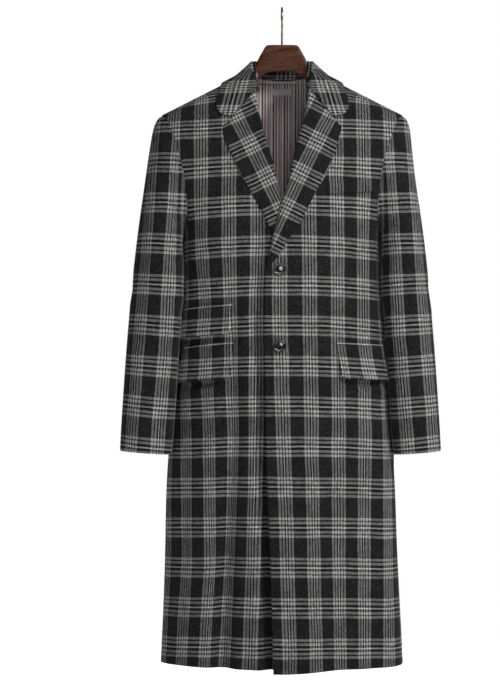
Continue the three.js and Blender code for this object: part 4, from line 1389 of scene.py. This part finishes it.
@dataclass(frozen=True)
class Collar:
    """The collar: a leaf that falls over the shoulders and a stand inside it."""

    body: BodyForm
    form: PanelForm
    leaf_cut: Cut
    stand_cut: Cut
    stations = Table(
        "row foldX foldY foldZ edgeX edgeZ face",
        (0, 50, -55.3, -160, 97.5, -216.5, -1),
        (1, 51.3, -52, -152, 109, -214, -1),
        (2, 52.6, -49, -145, 120, -210, -1),
        (3, 54, -44, -136, 127, -198, -1),
        (4, 56, -35, -123, 125, -178, -1),
        (5, 58, -22, -109, 119, -161, -1),
        (6, 58.5, -7, -101, 113, -147, 0),
        (7, 56, 13, -98.5, 104, -150, 1),
        (8, 47, 32, -97, 80, -153, 1),
        (9, 27, 45, -96, 43, -155, 1),
        (10, 0, 49, -96, 0, -156, 1),
    )
    feet = Table(
        "row x z face",
        (3, 54, -144, -1),
        (4, 58, -134, -1),
        (5, 60, -127, -1),
        (6, 65, -123, 0),
        (7, 60, -123, 1),
        (8, 48, -127, 1),
        (9, 26, -130, 1),
        (10, 0, -131, 1),
    )
    count: int = 240
    columns: int = 30
    curl_columns: int = 10
    clear: float = 4.3
    hollow: float = 1.5
    # The last station on the other front, and the centre back half way.
    last, centre = 20, 10
    # Rolled radius and the angle it ends at, at the front ends and behind.
    radii, curl_ends, curl_rows = (8.1, 3.3), (150.0, 86.0), (0.0, 3.0)
    # x of the leaf's corner and of the lapel's, for how its end stands off the front.
    leaf_x, lapel_x, flat_between = 97.5, 113.0, (-400.0, -500.0)
    neck_y = 6.0
    # The threads: level warp bands in front, bands along the leaf behind, and where they change.
    front_warp, front_repeat = -156.6, 50.0
    back_scale, back_start = 1.1, 66.0
    weft_at, weft_way, weft_round_from = (78.9, -125.0), (0.967, 0.253), -38.0
    turn_rows = (5.5, 7.5)

    def all_round(self, half: Table, point: Callable[[dict, float], Sequence[float]]) -> Table:
        """Points by station, from the left front round the neck to the right front.

        Args:
            half: Rows from the left front to the centre back.
            point: Makes x, y and z of a row's numbers and its side, -1 or 1.

        Returns:
            The points.
        """
        first = int(half.places[0])
        rows = []
        for k in range(first, self.last + 1 - first):
            own = min(k, self.last - k) - first
            numbers = {name: float(column[own]) for name, column in half.columns.items()}
            rows.append((k, *point(numbers, -1.0 if k <= self.centre else 1.0)))
        return Table("row x y z", *rows)

    def on_body(self, x: float, z: float, face: float, sign: float) -> Grid:
        """Point of the body at a distance from the centre on its front, its side or its back."""
        turn = SIDE_TURN if face == 0 else float(self.body.turn_of(np.array(x), np.array(z), int(face)))
        return self.body.point(np.array(z), np.array(sign * turn))

    def fold_point(self, row: dict, sign: float) -> Sequence[float]:
        """Point of the fold at a station."""
        return (row["foldX"] * sign, row["foldY"], row["foldZ"])

    def edge_point(self, row: dict, sign: float) -> Sequence[float]:
        """Point of the leaf's edge at a station, on the body."""
        x, z, face = row["edgeX"], row["edgeZ"], row["face"]
        return (sign * x, 0.0, z) if face == 0 else self.on_body(x, z, face, sign).tolist()

    def foot_point(self, row: dict, sign: float) -> Sequence[float]:
        """Point of the stand's foot at a station, inside the body's neckline."""
        foot = self.on_body(row["x"], row["z"], row["face"], sign) - np.array([0.0, 0.0, 2.0])
        return (foot + self.towards_neck(foot, 5.0)).tolist()

    def leaf_surface(self, row: Grid, from_end: Grid) -> Grid:
        """The leaf from its fold to its edge: on the fronts at its ends and on the body behind."""
        fold = self.all_round(self.stations, self.fold_point).point(row)
        edge = self.all_round(self.stations, self.edge_point).point(row)
        t = gathered(self.columns, 0.5)[None, :]
        leaf = mix(fold, edge, t[..., None])
        leaf[..., 2] -= self.hollow * np.sin(np.pi * t)
        leaf = self.body.pushed_clear(leaf, self.clear)
        half, read = np.clip(from_end, 0.0, 1.0), self.stations.curve
        x = mix(read("foldX", half), read("edgeX", half), t)
        z = mix(read("foldZ", half), read("edgeZ", half), t)
        out = roll_out(t * self.leaf_x / self.lapel_x, z, *self.flat_between)
        on_front = self.form.at(np.where(row < self.centre, -1.0, 1.0) * x, z, out)
        return mix(on_front, leaf, smooth(from_end)[..., None])

    def leaf_points(self, row: Grid, from_end: Grid) -> tuple[Grid, Grid]:
        """Points of the leaf with its fold rolled over, and how far along the cloth each lies."""
        leaf = self.leaf_surface(row, from_end)
        rolled = eased(from_end, *self.curl_rows)
        radius = mix(*self.radii, rolled)[..., None]
        reach = np.linalg.norm(leaf[:, -1:] - leaf[:, :1], axis=-1, keepdims=True)
        start = np.minimum(radius, 0.4 * reach)[..., 0]
        even = gathered(self.columns, 0.5)
        shares = mix(start / reach[..., 0], 1.0, even[None, :])
        flat = np.empty_like(leaf)
        for i in range(leaf.shape[0]):
            for axis in range(3):
                flat[i, :, axis] = np.interp(shares[i], even, leaf[i, :, axis])
        way = unit(flat[:, 1:2] - flat[:, :1])
        normals = grid_normals(flat)[:, :1]
        outwards = normals * np.sign((normals[0, 0] * FORWARD).sum())
        turns = np.linspace(1.0, 0.0, self.curl_columns, endpoint=False)[None, :]
        phi = np.radians(mix(*self.curl_ends, rolled) * turns)[..., None]
        curl = flat[:, :1] - way * radius * np.sin(phi) - outwards * radius * (1.0 - np.cos(phi))
        points = np.concatenate([curl, flat], axis=1)
        along = run_along(points, 1)
        return points, along - along[:, self.curl_columns, None] + start

    def leaf_threads(self, p: Grid, along: Grid, row: Grid, from_end: Grid) -> Grid:
        """Threads of the leaf: level warp bands at the front ends, and bands along it behind."""
        front_u = WARP_REPEAT * (self.front_warp - p[..., 2]) / self.front_repeat
        back_u = self.back_scale * along - self.back_start
        dx, dz = np.abs(p[..., 0]) - self.weft_at[0], p[..., 2] - self.weft_at[1]
        front_v = dx * self.weft_way[0] + dz * self.weft_way[1]
        front_v = front_v + np.maximum(p[..., 1] - self.weft_round_from, 0.0)
        middle = run_along(p, 0)[:, self.curl_columns + 8, None]
        half_walk = np.where(row < self.centre, middle, middle[-1:] - middle)
        turn_row = int(np.argmin(np.abs(row[:, 0] - np.mean(self.turn_rows))))
        met = front_v[turn_row, self.curl_columns + 12]
        back_v = met + half_walk - middle[turn_row] + np.zeros_like(back_u)
        behind = eased(from_end, *self.turn_rows)
        return np.stack([mix(front_u, back_u, behind), mix(front_v, back_v, behind)], axis=-1)

    def build_leaf(self, finishes: Finishes) -> None:
        """Sews the leaf."""
        row = (self.last * gathered(self.count, 0.3))[:, None]
        from_end = np.minimum(row, self.last - row)
        points, along = self.leaf_points(row, from_end)
        threads = self.leaf_threads(points, along, row, from_end)
        facing = 1 if (grid_normals(points)[0, -5] * FORWARD).sum() > 0 else -1
        sewn = Cloth("collar_leaf_cloth", points, threads, facing, rims="rtb", roundness=1.3)
        piece = sewn.sewn(finishes.coating, finishes.coating)
        declare(piece, ["collar_leaf"])

    def build_stand(self, finishes: Finishes) -> None:
        """Sews the stand."""
        first = self.feet.places[0]
        row = np.linspace(first, self.last - first, 141)[:, None]
        top = self.all_round(self.stations, self.fold_point).point(row) - np.array([0.0, 0.0, 1.0])
        foot = self.all_round(self.feet, self.foot_point).point(row)
        top = top + self.towards_neck(top, WALL + 1.1)
        points = mix(top, foot, np.linspace(0.0, 1.0, 13)[None, :, None])
        threads = np.stack([run_along(points, 1) + 14.0, run_along(points, 0) + 9.0], axis=-1)
        facing = 1 if (grid_normals(points)[70, 6] * FORWARD).sum() < 0 else -1
        sewn = Cloth("collar_stand_cloth", points, threads, facing, roundness=0.9)
        piece = sewn.sewn(finishes.coating, finishes.coating)
        declare(piece, ["collar_stand"])

    def towards_neck(self, p: Grid, distance: float) -> Grid:
        """Level step towards the middle of the neck."""
        way = np.stack([-p[..., 0], self.neck_y - p[..., 1], np.zeros_like(p[..., 0])], axis=-1)
        return unit(way) * distance

    def build(self, finishes: Finishes) -> None:
        """Sews leaf and stand."""
        self.build_leaf(finishes)
        self.build_stand(finishes)


# Pockets


@dataclass(frozen=True)
class Flap:
    """A pocket flap with the narrow jet above it, both lying on their front.

    Each corner is (x from the centre, height) in front view.
    """

    name: str
    side: Side
    form: PanelForm
    threads: FrontThreads
    top_outer: tuple[float, float]
    top_inner: tuple[float, float]
    low_outer: tuple[float, float]
    low_inner: tuple[float, float]
    cut: Cut
    jet_cut: Cut
    corner: float = 11.0
    lean: float = 0.0
    spring: float = 7.0
    rows: int = 30
    columns: int = 64
    jet_rows: int = 6
    jet_height: float = 3.0
    jet_wall: float = 1.6
    jet_reach: float = 1.6

    def grid(self, top: Grid, low: Grid, down: Grid, share: Grid, low_ends: tuple, out: Grid) -> tuple:
        """Points and threads of a piece that lies between two lines on the front.

        Args:
            top: Heights along the upper line.
            low: Heights along the lower line.
            down: Shares from the upper line to the lower.
            share: Shares from the outer end to the inner.
            low_ends: Outer and inner x of the lower line.
            out: How far the piece's face stands off the front.

        Returns:
            Points and threads, which lean off the front's own by lean for each millimetre down.
        """
        z = mix(top, low, down)
        outer = self.form.body.turn_of(mix(self.top_outer[0], low_ends[0], down), z)
        inner = self.form.body.turn_of(mix(self.top_inner[0], low_ends[1], down), z)
        turn = self.side.value * mix(outer, inner, share)
        x = self.form.bare(z, turn)[..., 0]
        across = self.threads.across(z, turn) + self.lean * (top - z)
        threads = np.stack([across, self.form.body.cloth_height(x, z, -1)], axis=-1)
        return self.form.point(z, turn, out), threads

    def build(self, finishes: Finishes) -> None:
        """Sews the flap and its jet."""
        t, down = gathered(self.columns, 0.85)[None, :], gathered(self.rows, 0.7)[:, None]
        length = self.top_outer[0] - self.top_inner[0]
        top = mix(self.top_outer[1], self.top_inner[1], t)
        from_end = np.minimum(np.minimum(t, 1.0 - t) * length, self.corner)
        rounding = self.corner - np.sqrt(self.corner**2 - (self.corner - from_end) ** 2)
        low = mix(self.low_outer[1], self.low_inner[1], t) + rounding
        ends = (self.low_outer[0], self.low_inner[0])
        stand = LAY + WALL + self.spring * down**1.6
        points, threads = self.grid(top, low, down, t, ends, stand)
        facing = self.side.value
        sewn = Cloth(f"{self.name}_cloth", points, threads, facing, roundness=1.3)
        declare(sewn.sewn(finishes.coating, finishes.lining), [self.name])
        low, steps = top + 0.5, np.linspace(0.0, 1.0, self.jet_rows + 1)[:, None]
        ends = (self.top_outer[0], self.top_inner[0])
        points, threads = self.grid(low + self.jet_height, low, steps, t, ends, LAY + self.jet_wall)
        threads[..., 1] = mix(-self.jet_reach, self.jet_reach, steps)
        jet = self.name.replace("flap", "jet")
        sewn = Cloth(f"{jet}_cloth", points, threads, facing, wall=self.jet_wall, roundness=0.6)
        declare(sewn.sewn(finishes.coating, finishes.coating), [jet])


@dataclass(frozen=True)
class Welt:
    """The breast pocket's welt."""

    form: PanelForm
    threads: FrontThreads
    cut: Cut
    outer: tuple[float, float] = (174.0, -338.0)
    inner: tuple[float, float] = (84.0, -345.0)
    height: float = 24.0
    wall: float = 2.6

    def build(self, finishes: Finishes) -> None:
        """Sews the welt."""
        t = gathered(48, 0.8)[None, :]
        x = mix(self.outer[0], self.inner[0], t)
        z = mix(self.outer[1], self.inner[1], t) - self.height * gathered(14, 0.7)[:, None]
        points, threads = self.form.at(x, z, LAY + self.wall), self.threads.at(x, z)
        sewn = Cloth("welt_breast_cloth", points, threads, 1, wall=self.wall, roundness=1.2)
        piece = sewn.sewn(finishes.coating, finishes.coating)
        declare(piece, ["welt_breast"])


# Buttons, the neck's inside and the hanger


def finished(bm: bmesh.types.BMesh, name: str, material: bpy.types.Material) -> bpy.types.Object:
    """Makes a smooth object of a finished mesh, with its seams joined and its faces outwards.

    Args:
        bm: The mesh, in metres.
        name: The object's name.
        material: Its material.

    Returns:
        The object.
    """
    bmesh.ops.remove_doubles(bm, verts=bm.verts, dist=WELD)
    bmesh.ops.recalc_face_normals(bm, faces=bm.faces)
    return placed(bm, name, material)


def capped(rings: Grid, name: str, material: bpy.types.Material) -> bpy.types.Object:
    """Makes an object of closed rings of points in millimetres, with its two ends filled."""
    bm, _, _ = laid_grid(rings * MM)
    bmesh.ops.remove_doubles(bm, verts=bm.verts, dist=WELD)
    rim = [edge for edge in bm.edges if edge.is_boundary]
    bmesh.ops.holes_fill(bm, edges=rim, sides=0)
    return finished(bm, name, material)


@dataclass(frozen=True)
class Button:
    """A thick-rimmed horn button, fastened on the top front."""

    name: str
    form: PanelForm
    height: float
    seat: float
    across: float = -5.5
    steps: int = 56
    profile: tuple = (
        (0.0, 0.0), (9.6, 0.0), (10.9, 0.35), (11.7, 1.1), (12.0, 2.0), (11.7, 2.9), (11.0, 3.35),
        (10.2, 3.4), (9.5, 3.1), (8.9, 2.6), (8.4, 2.4), (7.9, 2.5), (7.4, 2.75), (6.6, 2.86),
        (5.0, 2.98), (3.0, 3.06), (1.5, 3.09), (0.0, 3.1),
    )

    def build(self, finishes: Finishes) -> None:
        """Turns the button and sets it on its front."""
        bm = bmesh.new()
        ring = [bm.verts.new((r * MM, 0.0, h * MM)) for r, h in self.profile]
        edges = [bm.edges.new(pair) for pair in zip(ring, ring[1:])]
        spun = {"cent": (0, 0, 0), "axis": (0, 0, 1), "angle": 2.0 * np.pi, "steps": self.steps}
        bmesh.ops.spin(bm, geom=ring + edges, use_merge=True, **spun)
        x, z = np.array(self.across), np.array(self.height)
        facing = Vector(self.form.at(x, z, 1.0) - self.form.at(x, z, 0.0)).normalized()
        turned = facing.to_track_quat("Z", "Y").to_matrix().to_4x4()
        bmesh.ops.transform(bm, matrix=turned, verts=bm.verts)
        bmesh.ops.translate(bm, vec=Vector(self.form.at(x, z, self.seat) * MM), verts=bm.verts)
        declare(finished(bm, f"{self.name}_horn", finishes.horn), [self.name])


@dataclass(frozen=True)
class Patch:
    """A flat piece inside the back: its edges' heights, half its width and its inset."""

    name: str
    top: float
    bottom: float
    half: float
    rows: int
    columns: int
    wall: float
    inset: float = WALL + LAY
    centre: float = 0.0
    rims: str = "lrtb"
    roundness: float = 0.0

    def cloth(self, form: PanelForm) -> Cloth:
        """The piece laid on the inside of the back, its threads by place."""
        z = np.linspace(self.top, self.bottom, self.rows + 1)[:, None]
        x = self.centre + np.linspace(-self.half, self.half, self.columns + 1)[None, :]
        points = form.point(z, form.body.turn_of(x, z, 1), -self.inset)
        threads = np.stack(np.broadcast_arrays(x, z), axis=-1)
        return Cloth(f"{self.name}_cloth", points, threads, 1, self.wall, self.rims, self.roundness)


@dataclass(frozen=True)
class NeckInside:
    """What shows inside the neck: the back lining, the neck tape and a bare label."""

    form: PanelForm
    lining_cut: Cut
    tape_cut: Cut
    label_cut: Cut
    lining = Patch("lining_back", -139, -440, 96, 90, 64, 1.0, rims="")
    tape = Patch("neck_tape", -133.4, -138.2, 29, 8, 40, 1.0, roundness=0.4)
    label = Patch("label", -148, -160, 18.7, 12, 36, 0.8, WALL + LAY + 1.7, 1.0, roundness=0.3)

    def build(self, finishes: Finishes) -> None:
        """Sews lining, tape and label."""
        pieces = (
            (self.lining, finishes.lining, "lining", self.lining_cut),
            (self.tape, finishes.tape, "tape", self.tape_cut),
            (self.label, finishes.label, "tape", self.label_cut),
        )
        for patch, finish, slot, cut in pieces:
            declare(patch.cloth(self.form).sewn(finish, finish), [patch.name])


@dataclass(frozen=True)
class HangerBody:
    """The wooden hanger: a tall middle and two arms under the shoulders."""

    sections = Table(
        "x top bottom half",
        (0, -70, -121, 8),
        (20, -70, -122.5, 8),
        (29, -70.5, -125, 8),
        (33, -74, -127.5, 8),
        (40, -86, -133, 8),
        (47, -99, -139, 8),
        (50.5, -107, -142, 8),
        (52, -121, -144, 8.5),
        (56, -130, -147, 9),
        (66, -131, -152.5, 10),
        (90, -139.35, -165, 13),
        (125, -157.1, -183, 16),
        (160, -174.9, -199, 18),
        (190, -190.1, -210, 19),
        (204, -197.2, -213, 17),
        (210, -203, -211, 10),
    )
    corner: float = 5.0
    around: int = 32
    spacing = ((0.0, 72.0, 73), (72.0, 204.0, 56), (204.0, 210.0, 7))

    def build(self, finishes: Finishes) -> None:
        """Carves the hanger out of rounded sections, and bevels its ends."""
        x = np.unique(np.concatenate([np.linspace(*stretch) for stretch in self.spacing]))
        x = np.concatenate([-x[:0:-1], x])
        kernel = np.array([1.0, 2.0, 3.0, 2.0, 1.0]) / 9.0
        read = (self.sections.line(key, np.abs(x)) for key in ("top", "bottom", "half"))
        softened = (np.convolve(np.pad(values, 2, mode="edge"), kernel, "valid") for values in read)
        top, bottom, half = (values[:, None] for values in softened)
        angle = np.linspace(0.0, 2.0 * np.pi, self.around + 1)[None, :]
        y, z = np.cos(angle), np.sin(angle)
        tall = (top - bottom) / 2.0
        reach = np.minimum(self.corner, np.minimum(half, tall) * 0.8)
        flat_y = np.sign(y) * np.maximum(half - reach, 0.0) * np.minimum(1.0, np.abs(y) * 3.0)
        flat_z = np.sign(z) * (tall - reach) * np.minimum(1.0, np.abs(z) * 1.6)
        rings = stacked(x[:, None], flat_y + reach * y, (top + bottom) / 2.0 + flat_z + reach * z)
        declare(capped(rings, "hanger_body_wood", finishes.walnut), ["hanger_body"])


@dataclass(frozen=True)
class HangerHook:
    """The hook: a bent wire that passes in front of the rail and ends behind it."""

    wire: float = 4.0
    inner: float = 17.0
    tip_angle: float = -25.0
    end_angle: float = 238.0
    stem_top: float = -50.0
    stem_foot: float = -70.6
    steps: int = 120
    around: int = 16
    tip = (0.55, 1.4, 1.85)

    def build(self, finishes: Finishes) -> None:
        """Bends the wire."""
        radius = self.inner + self.wire / 2.0
        turns = np.radians(np.linspace(self.tip_angle, self.end_angle, 54))
        bow = [(0.0, radius * np.cos(a), radius * np.sin(a) - self.inner) for a in turns]
        stem = [(0.0, -1.2, self.stem_top + 6.0), (0.0, 0.0, self.stem_top), (0.0, 0.0, self.stem_foot)]
        path = np.array(bow + stem)
        run = run_along(path[:, None], 0)[:, 0]
        wire = Table("row x y z", *[(s, *p) for s, p in zip(run, path)])
        middle = wire.point(np.linspace(0.0, run[-1], self.steps))
        side = np.array([1.0, 0.0, 0.0])
        out = np.cross(unit(np.gradient(middle, axis=0)), side)[:, None]
        angle = np.linspace(0.0, 2.0 * np.pi, self.around + 1)[None, :, None]
        thick = np.full((self.steps, 1, 1), self.wire / 2.0)
        thick[: len(self.tip), 0, 0] = self.tip
        rings = middle[:, None] + thick * (np.cos(angle) * side + np.sin(angle) * out)
        declare(capped(rings, "hanger_hook_wire", finishes.brass), ["hanger_hook"])


# The studio


@dataclass(frozen=True)
class Lamp:
    """A soft lamp: where it stands, what it points at, its size and power."""

    name: str
    place: tuple[float, float, float]
    aim: tuple[float, float, float]
    size: tuple[float, float]
    power: float

    def light(self) -> None:
        """Sets the lamp up."""
        data = bpy.data.lights.new(self.name, "AREA")
        data.shape = "ELLIPSE"
        data.size, data.size_y = self.size
        data.energy = self.power
        lamp = bpy.data.objects.new(self.name, data)
        bpy.context.scene.collection.objects.link(lamp)
        lamp.location = self.place
        towards = Vector(self.aim) - Vector(self.place)
        lamp.rotation_euler = towards.to_track_quat("-Z", "Y").to_euler()


@dataclass(frozen=True)
class Studio:
    """Pale floor in a white room, soft lamps and the camera.

    The camera sees the room as white, and only the ambient share of that lights the coat.
    """

    lamps: tuple[Lamp, ...]
    camera_place: tuple[float, float, float] = (-0.0624, -4.0, -0.6636)
    lens: float = 105.65
    sensor: float = 36.0
    ambient: float = 0.03
    white: float = 1.0
    floor_height: float = -1.70
    floor_reach: float = 3.2

    def floor(self, finishes: Finishes) -> None:
        """A round pale floor, whose painted glow fades its rim into the white all round."""
        bm = bmesh.new()
        bmesh.ops.create_circle(bm, cap_ends=True, segments=128, radius=self.floor_reach)
        bmesh.ops.translate(bm, vec=(0.0, 0.0, self.floor_height), verts=bm.verts)
        finished(bm, "floor", finishes.floor)

    def room(self) -> bpy.types.World:
        """The room round the coat."""
        world = bpy.data.worlds.new("soft light")
        world.use_nodes = True
        nodes = Nodes(world.node_tree)
        background = next(x for x in world.node_tree.nodes if x.type == "BACKGROUND")
        seen = nodes.add("ShaderNodeLightPath").outputs["Is Camera Ray"]
        strength = nodes.math("MULTIPLY_ADD", seen, self.white - self.ambient, self.ambient)
        nodes.feed(background, {"Color": (1.0, 1.0, 1.0, 1.0), "Strength": strength})
        return world

    def camera(self) -> bpy.types.Object:
        """The camera, level and straight in front."""
        data = bpy.data.cameras.new("camera")
        data.lens = self.lens
        data.sensor_width = self.sensor
        camera = bpy.data.objects.new("camera", data)
        bpy.context.scene.collection.objects.link(camera)
        camera.location = self.camera_place
        camera.rotation_euler = (np.pi / 2.0, 0.0, 0.0)
        return camera

    def build(self, finishes: Finishes) -> None:
        """Sets up the floor, the lamps, the room and the camera."""
        self.floor(finishes)
        for lamp in self.lamps:
            lamp.light()
        scene = bpy.context.scene
        scene.world = self.room()
        scene.view_settings.view_transform = "Standard"
        scene.camera = self.camera()


# The coat put together


class Overcoat:
    """All pieces of the coat and its hanger, in the order they are made."""

    def __init__(self) -> None:
        """Settles the form that every piece lies on."""
        self.body = BodyForm()
        self.left_form = PanelForm(
            self.body,
            creases=(
                Crease((-176, -436), (-118, -540), 15, 2.6, 6),
                Crease((-160, -470), (-140, -640), 13, 2.0, -5),
                Crease((-60, -560), (-40, -690), 12, 1.6, 3),
                Crease((-70, -760), (-82, -1230), 15, 3.4, 6),
                Crease((-182, -760), (-196, -1215), 14, 3.2, -5),
                Crease((-60, -520), (-150, -585), 13, 1.2, 4),
                Crease((-57, -180), (0, -2100), 12, 19.0),
                Crease((-88, -560), (-130, -1700), 14, 9.5),
                Crease((-208, -648), (-92, -638), 5, 5.0),
                Crease((-91, -550), (-95, -674), 4.5, 6.0),
                Crease((-90, -622), (-95, -758), 4.5, 6.0),
                Crease((-214, -736), (-92, -725), 6, 5.5),
            ),
        )
        self.right_form = PanelForm(
            self.body,
            Lap(),
            creases=(
                Crease((172, -436), (118, -548), 15, 2.4, -6),
                Crease((20, -545), (64, -640), 16, 1.3, 5),
                Crease((14, -690), (36, -900), 15, 2.4, 4),
                Crease((84, -745), (96, -1140), 18, 2.6, -7),
                Crease((150, -760), (146, -1230), 17, 3.0, 6),
                Crease((40, -960), (34, -1240), 14, 2.2, -4),
                Crease((100, -726), (216, -732), 6, 5.5),
                Crease((78, -370), (182, -363), 4, 1.6),
            ),
        )
        self.back_form = PanelForm(
            self.body,
            creases=(
                Crease((-120, -250), (-150, -420), 20, 2.6, 8),
                Crease((118, -255), (152, -430), 20, 2.4, -8),
                Crease((-60, -480), (-70, -760), 18, 2.0, 6),
                Crease((66, -470), (60, -720), 17, 1.8, -5),
                Crease((-110, -820), (-118, -1230), 18, 3.2, 5),
                Crease((40, -860), (46, -1220), 16, 2.6, -5),
                Crease((150, -800), (160, -1225), 16, 3.0, 4),
            ),
        )
        left_bands = (
            (-240, -156.5, -102, -47.5),
            (-465, -156.5, -102.5, -48.1),
            (-552, -149.4, -100.6, -51),
            (-839, -140, -94.8, -52.9),
            (-1065, -136, -105.3, -56.7),
            (-1268, -148, -116.4, -62.4),
        )
        right_bands = (
            (-320, -7, 48, 102.5, 155),
            (-570, -6.9, 52.1, 105.5, 154),
            (-839, 1.3, 54.8, 106.6, 157.9),
            (-1065, 8.8, 59.1, 106.6, 156),
            (-1268, 13.4, 64.6, 109.4, 156.3),
        )
        self.left_threads = FrontThreads(self.body, (-3, -2, -1), left_bands)
        self.right_threads = FrontThreads(self.body, (0, 1, 2, 3), right_bands)

    def fronts(self) -> list:
        """Both fronts."""
        under_edge = Table(
            "z x",
            (-123, 61), (-131, 59), (-148, 53), (-198, 46), (-232, 39), (-259, 31), (-306, 18),
            (-331, 13), (-377, 2), (-425, -10), (-497, -31), (-540, -35), (-1285, -35),
        )
        top_edge = Table(
            "z x",
            (-123, 61), (-131, 59), (-148, 53), (-188, 46.5), (-232, 37), (-265, 27), (-309, 17),
            (-345, 9), (-382, -2), (-438, -17), (-488, -27), (BREAK, -34), (-646, -36), (-900, -31),
            (-1069, -24), (-1285, -18),
        )
        left_cut, right_cut = Cut(0.33, 1.17, 0.297), Cut(0.34, 1.18, 0.306)
        return [
            Front(Side.LEFT, self.left_form, self.left_threads, under_edge, left_cut),
            Front(Side.RIGHT, self.right_form, self.right_threads, top_edge, right_cut),
        ]

    def backs(self) -> list:
        """Both halves of the back."""
        cut = Cut(0.31, 1.17, 0.284)
        return [Back(side, self.back_form, cut) for side in Side]

    def sleeves(self) -> list:
        """Both sleeves."""
        top, under = Cut(0.26, 0.66, 0.134), Cut(0.16, 0.52, 0.061)
        left = (
            Crease((26, -470), (78, -560), 13, 2.4, 5),
            Crease((30, -560), (84, -610), 11, 2.2, 4),
            Crease((10, -640), (70, -700), 12, 1.6, 4),
            Crease((-46, -420), (-30, -640), 16, 1.8, 6),
            Crease((-60, -500), (-110, -590), 14, 2.0, 5),
        )
        right = (
            Crease((22, -450), (74, -545), 13, 2.2, -5),
            Crease((34, -575), (88, -618), 11, 2.4, 4),
            Crease((6, -660), (66, -712), 12, 1.4, -4),
            Crease((-40, -400), (-34, -600), 16, 1.6, -6),
            Crease((-66, -520), (-112, -600), 14, 2.0, 5),
        )
        return [
            Sleeve(Side.LEFT, self.body, top, under, left, reach_in=7.5),
            Sleeve(Side.RIGHT, self.body, top, under, right, shift=7.0),
        ]

    def lapels(self) -> list:
        """Both lapels."""
        under_rows = Table(
            "row rollX rollZ edgeX edgeZ",
            (0, 50, -161, 114, -237), (1, 48, -180, 113, -253), (2, 45, -203, 106, -273),
            (3, 39, -232, 95, -298), (4, 31, -259, 83, -326), (5, 20, -300, 67, -352),
            (6, 12, -335, 52, -378), (7, 2, -377, 37, -409), (8, -9, -422, 19, -441),
            (9, -20, -460, -2, -470), (10, -29, -492, -22, -496),
        )
        top_rows = Table(
            "row rollX rollZ edgeX edgeZ",
            (0, 50, -161, 113, -237), (1, 48, -180, 109, -254), (2, 43.5, -203, 103, -279),
            (3, 37, -232, 91, -308), (4, 27, -265, 80, -334), (5, 17, -309, 65, -359),
            (6, 9, -345, 51, -387), (7, -2, -382, 36, -419), (8, -10, -412, 24, -437),
            (9, -17, -438, 12, -453), (10, -22, -465, 2, -470), (11, -27, -488, -12, -491),
            (12, -32, -504, -27, -506),
        )
        cut = Cut(0.11, 0.36, 0.0215)
        left_line, right_line = (-61.1, -273.7), (34.4, -329.8)
        left_way, right_way = (0.437, -0.8995), (-0.4434, -0.896)
        return [
            Lapel(Side.LEFT, self.left_form, under_rows, -310, -385, left_line, left_way, 69.0, cut),
            Lapel(Side.RIGHT, self.right_form, top_rows, -400, -500, right_line, right_way, 70.0, cut),
        ]

    def pockets(self) -> list:
        """Flaps with their jets, and the welt."""
        left = (Side.LEFT, self.left_form, self.left_threads)
        right = (Side.RIGHT, self.right_form, self.right_threads)
        small = (Cut(0.13, 0.054, 0.0067), Cut(0.095, 0.010, 0.0005))
        large = (Cut(0.14, 0.068, 0.0088), small[1])
        ticket = ((189, -590), (96, -580), (196, -643), (100, -634))
        hip_left = ((188, -663), (95, -653), (201, -730), (100, -720))
        hip_right = ((194, -658), (104, -654), (202, -725), (111, -720))
        return [
            Flap("flap_ticket", *left, *ticket, *small, corner=8.0),
            Flap("flap_hip_left", *left, *hip_left, *large),
            Flap("flap_hip_right", *right, *hip_right, *large, lean=-0.12),
            Welt(self.right_form, self.right_threads, Cut(0.10, 0.024, 0.0024)),
        ]

    def details(self) -> list:
        """Collar, buttons, the neck's inside and the hanger."""
        lining, tape = Cut(0.20, 0.31, 0.060), Cut(0.060, 0.011, 0.00033)
        label = Cut(0.038, 0.0125, 0.00046)
        return [
            Collar(self.body, self.left_form, Cut(0.50, 0.11, 0.032), Cut(0.30, 0.036, 0.0075)),
            Button("button_top", self.right_form, -511.0, 0.6),
            Button("button_bottom", self.right_form, -657.0, 0.9),
            NeckInside(self.back_form, lining, tape, label),
            HangerBody(),
            HangerHook(),
        ]

    def build(self, finishes: Finishes) -> None:
        """Makes every piece."""
        body = [*self.fronts(), *self.backs(), *self.sleeves()]
        for piece in [*body, *self.lapels(), *self.pockets(), *self.details()]:
            piece.build(finishes)


def studio() -> Studio:
    """The studio as the photograph was lit."""
    return Studio(
        lamps=(
            Lamp("key", (2.0, -2.3, 1.3), (0.0, 0.0, -0.6), (0.6, 0.6), 54.0),
            Lamp("front", (0.25, -4.5, -0.2), (0.0, 0.0, -0.6), (0.7, 0.85), 5.5),
            Lamp("top", (0.7, -2.2, 2.2), (0.0, 0.0, -0.5), (1.2, 0.8), 18.0),
            Lamp("back", (0.5, 4.2, 0.7), (0.0, 0.0, -0.6), (1.4, 1.4), 38.0),
        )
    )


def main() -> None:
    """Builds the materials, the coat and the studio."""
    logging.basicConfig(level=logging.INFO, format="%(message)s")
    finishes = Finishes()
    Overcoat().build(finishes)
    studio().build(finishes)


if __name__ == "__main__":
    main()
